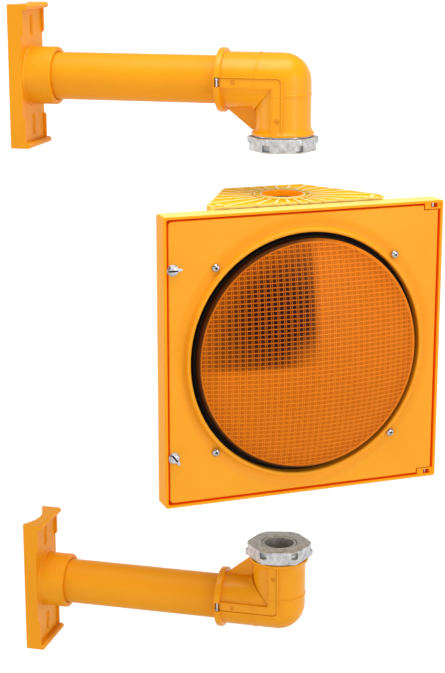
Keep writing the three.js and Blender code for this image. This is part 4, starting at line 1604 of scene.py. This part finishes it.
def build_head():
    def add(ob, node, body, look, sharp=32):
        finished(ob, f"{node}_fine", HEAD, body, look, [node], sharp)

    add(housing(), "housing", "head", HOUSING_PLASTIC)
    add(door(), "door", "door_leaf", DOOR_PLASTIC)
    add(door_seal(), "door_seal", "door_leaf", RUBBER)
    add(lens(), "lens", "door_leaf", [AMBER, AMBER_CELL_SHADE], 24)
    add(lens_gasket(), "lens_gasket", "door_leaf", RUBBER)
    for i, (sx, sz) in enumerate(CORNERS, 1):
        x, z = sx * SCREW_AT[0], sz * SCREW_AT[1]
        add(pan_screw(x, z, 23 * i), f"lens_screw_{i}", "door_leaf", [STEEL, RECESS_SHADE])
        add(lens_clamp(sx, sz), f"lens_clamp_{i}", "door_leaf", STEEL)
        add(dish_screw(sx, sz, 31 * i), f"reflector_screw_{i}", "head", [STEEL, RECESS_SHADE])
    for side, word in ((1, "upper"), (-1, "lower")):
        add(latch(side), f"latch_{word}", f"latch_{word}_body", [STEEL, RECESS_SHADE])
        add(latch_cam(side), f"latch_cam_{word}", f"latch_{word}_body", STEEL)
        add(hinge_pin(side), f"hinge_pin_{word}", "head", STEEL)
    add(index_ring(1), "index_ring_top", "top_ring", RING_PLASTIC)
    add(index_ring(-1), "index_ring_bottom", "bottom_ring", RING_PLASTIC)
    add(reflector(), "reflector", "head", MIRROR)
    add(lamp_holder(), "lamp_holder", "head", PORCELAIN)
    add(bulb_glass(), "bulb_glass", "head", GLASS)
    add(bulb_base(), "bulb_base", "head", STEEL)
    add(terminal_block(), "terminal_block", "head", PORCELAIN)
    finished(bulb_filament(), "bulb_filament_fine", HEAD, "head", STEEL)
    finished(terminal_screws(), "terminal_screws_fine", HEAD, "head", STEEL)


# ---- studio ----
VIEW = {"lens": 88.4, "sensor": 36, "from": (0.7706, -1.9574, 0.1912), "towards": (-0.2436, 0.9381, -0.2460)}
WORLD_STRENGTH = 0.36
PANELS = [
    ("top", (0.1, -0.3, 1.9), (1.6, 1.2), 34),
    ("right", (1.7, -0.9, 0.5), (0.35, 1.8), 9),
    ("left", (-1.8, -0.5, -0.1), (0.5, 1.6), 5),
]


def camera():
    """The viewing angle: from the left of the head's front, and a little above it."""
    data = bpy.data.cameras.new("camera")
    data.lens = VIEW["lens"]
    data.sensor_width = VIEW["sensor"]
    data.clip_end = 50
    ob = linked("camera", data)
    aimed(ob, VIEW["from"], VIEW["towards"])
    bpy.context.scene.camera = ob


def floor():
    """A large pale floor well below the object, curved up all round into a low backdrop."""
    low = cad_box[0].z - 1.0
    reach, bend, height, steps = 5.0, 1.4, 3.6, 96
    profile = [(0.01, low), (reach * 0.5, low)]
    profile += [(reach + bend * math.sin(a), low + bend * (1 - math.cos(a)))
                for a in [math.pi / 2 * k / 16 for k in range(17)]]
    profile.append((reach + bend, low + height))
    bm = bmesh.new()
    rows = []
    for k in range(steps):
        turn = 2 * math.pi * k / steps
        rows.append([bm.verts.new((AXIS_X + r * math.cos(turn), r * math.sin(turn), z)) for r, z in profile])
    for near, far in zip(rows, rows[1:] + rows[:1]):
        for i in range(len(profile) - 1):
            bm.faces.new((near[i], near[i + 1], far[i + 1], far[i]))
    ob = new_object(bm, "floor")
    ob.data.materials.append(floor_white())
    ob.data.shade_smooth()


def panel(name, place, target, size, power):
    """A rectangular lamp turned towards its target."""
    data = bpy.data.lights.new(name, "AREA")
    data.shape = "RECTANGLE"
    data.size, data.size_y = size
    data.energy = power
    ob = linked(name, data)
    aimed(ob, place, target - place)


def studio():
    low, high = cad_box
    middle_of_part = (low + high) / 2
    world = bpy.data.worlds.new("studio")
    bpy.context.scene.world = world
    world.use_nodes = True
    back = world.node_tree.nodes["Background"]
    back.inputs["Color"].default_value = (1, 1, 1, 1)
    back.inputs["Strength"].default_value = WORLD_STRENGTH
    for name, offset, size, power in PANELS:
        panel(name, middle_of_part + Vector(offset), middle_of_part, size, power)
    settings = bpy.context.scene.view_settings
    settings.view_transform = "Standard"
    settings.look = "None"


camera()
floor()
studio()
build_arms()
build_head()
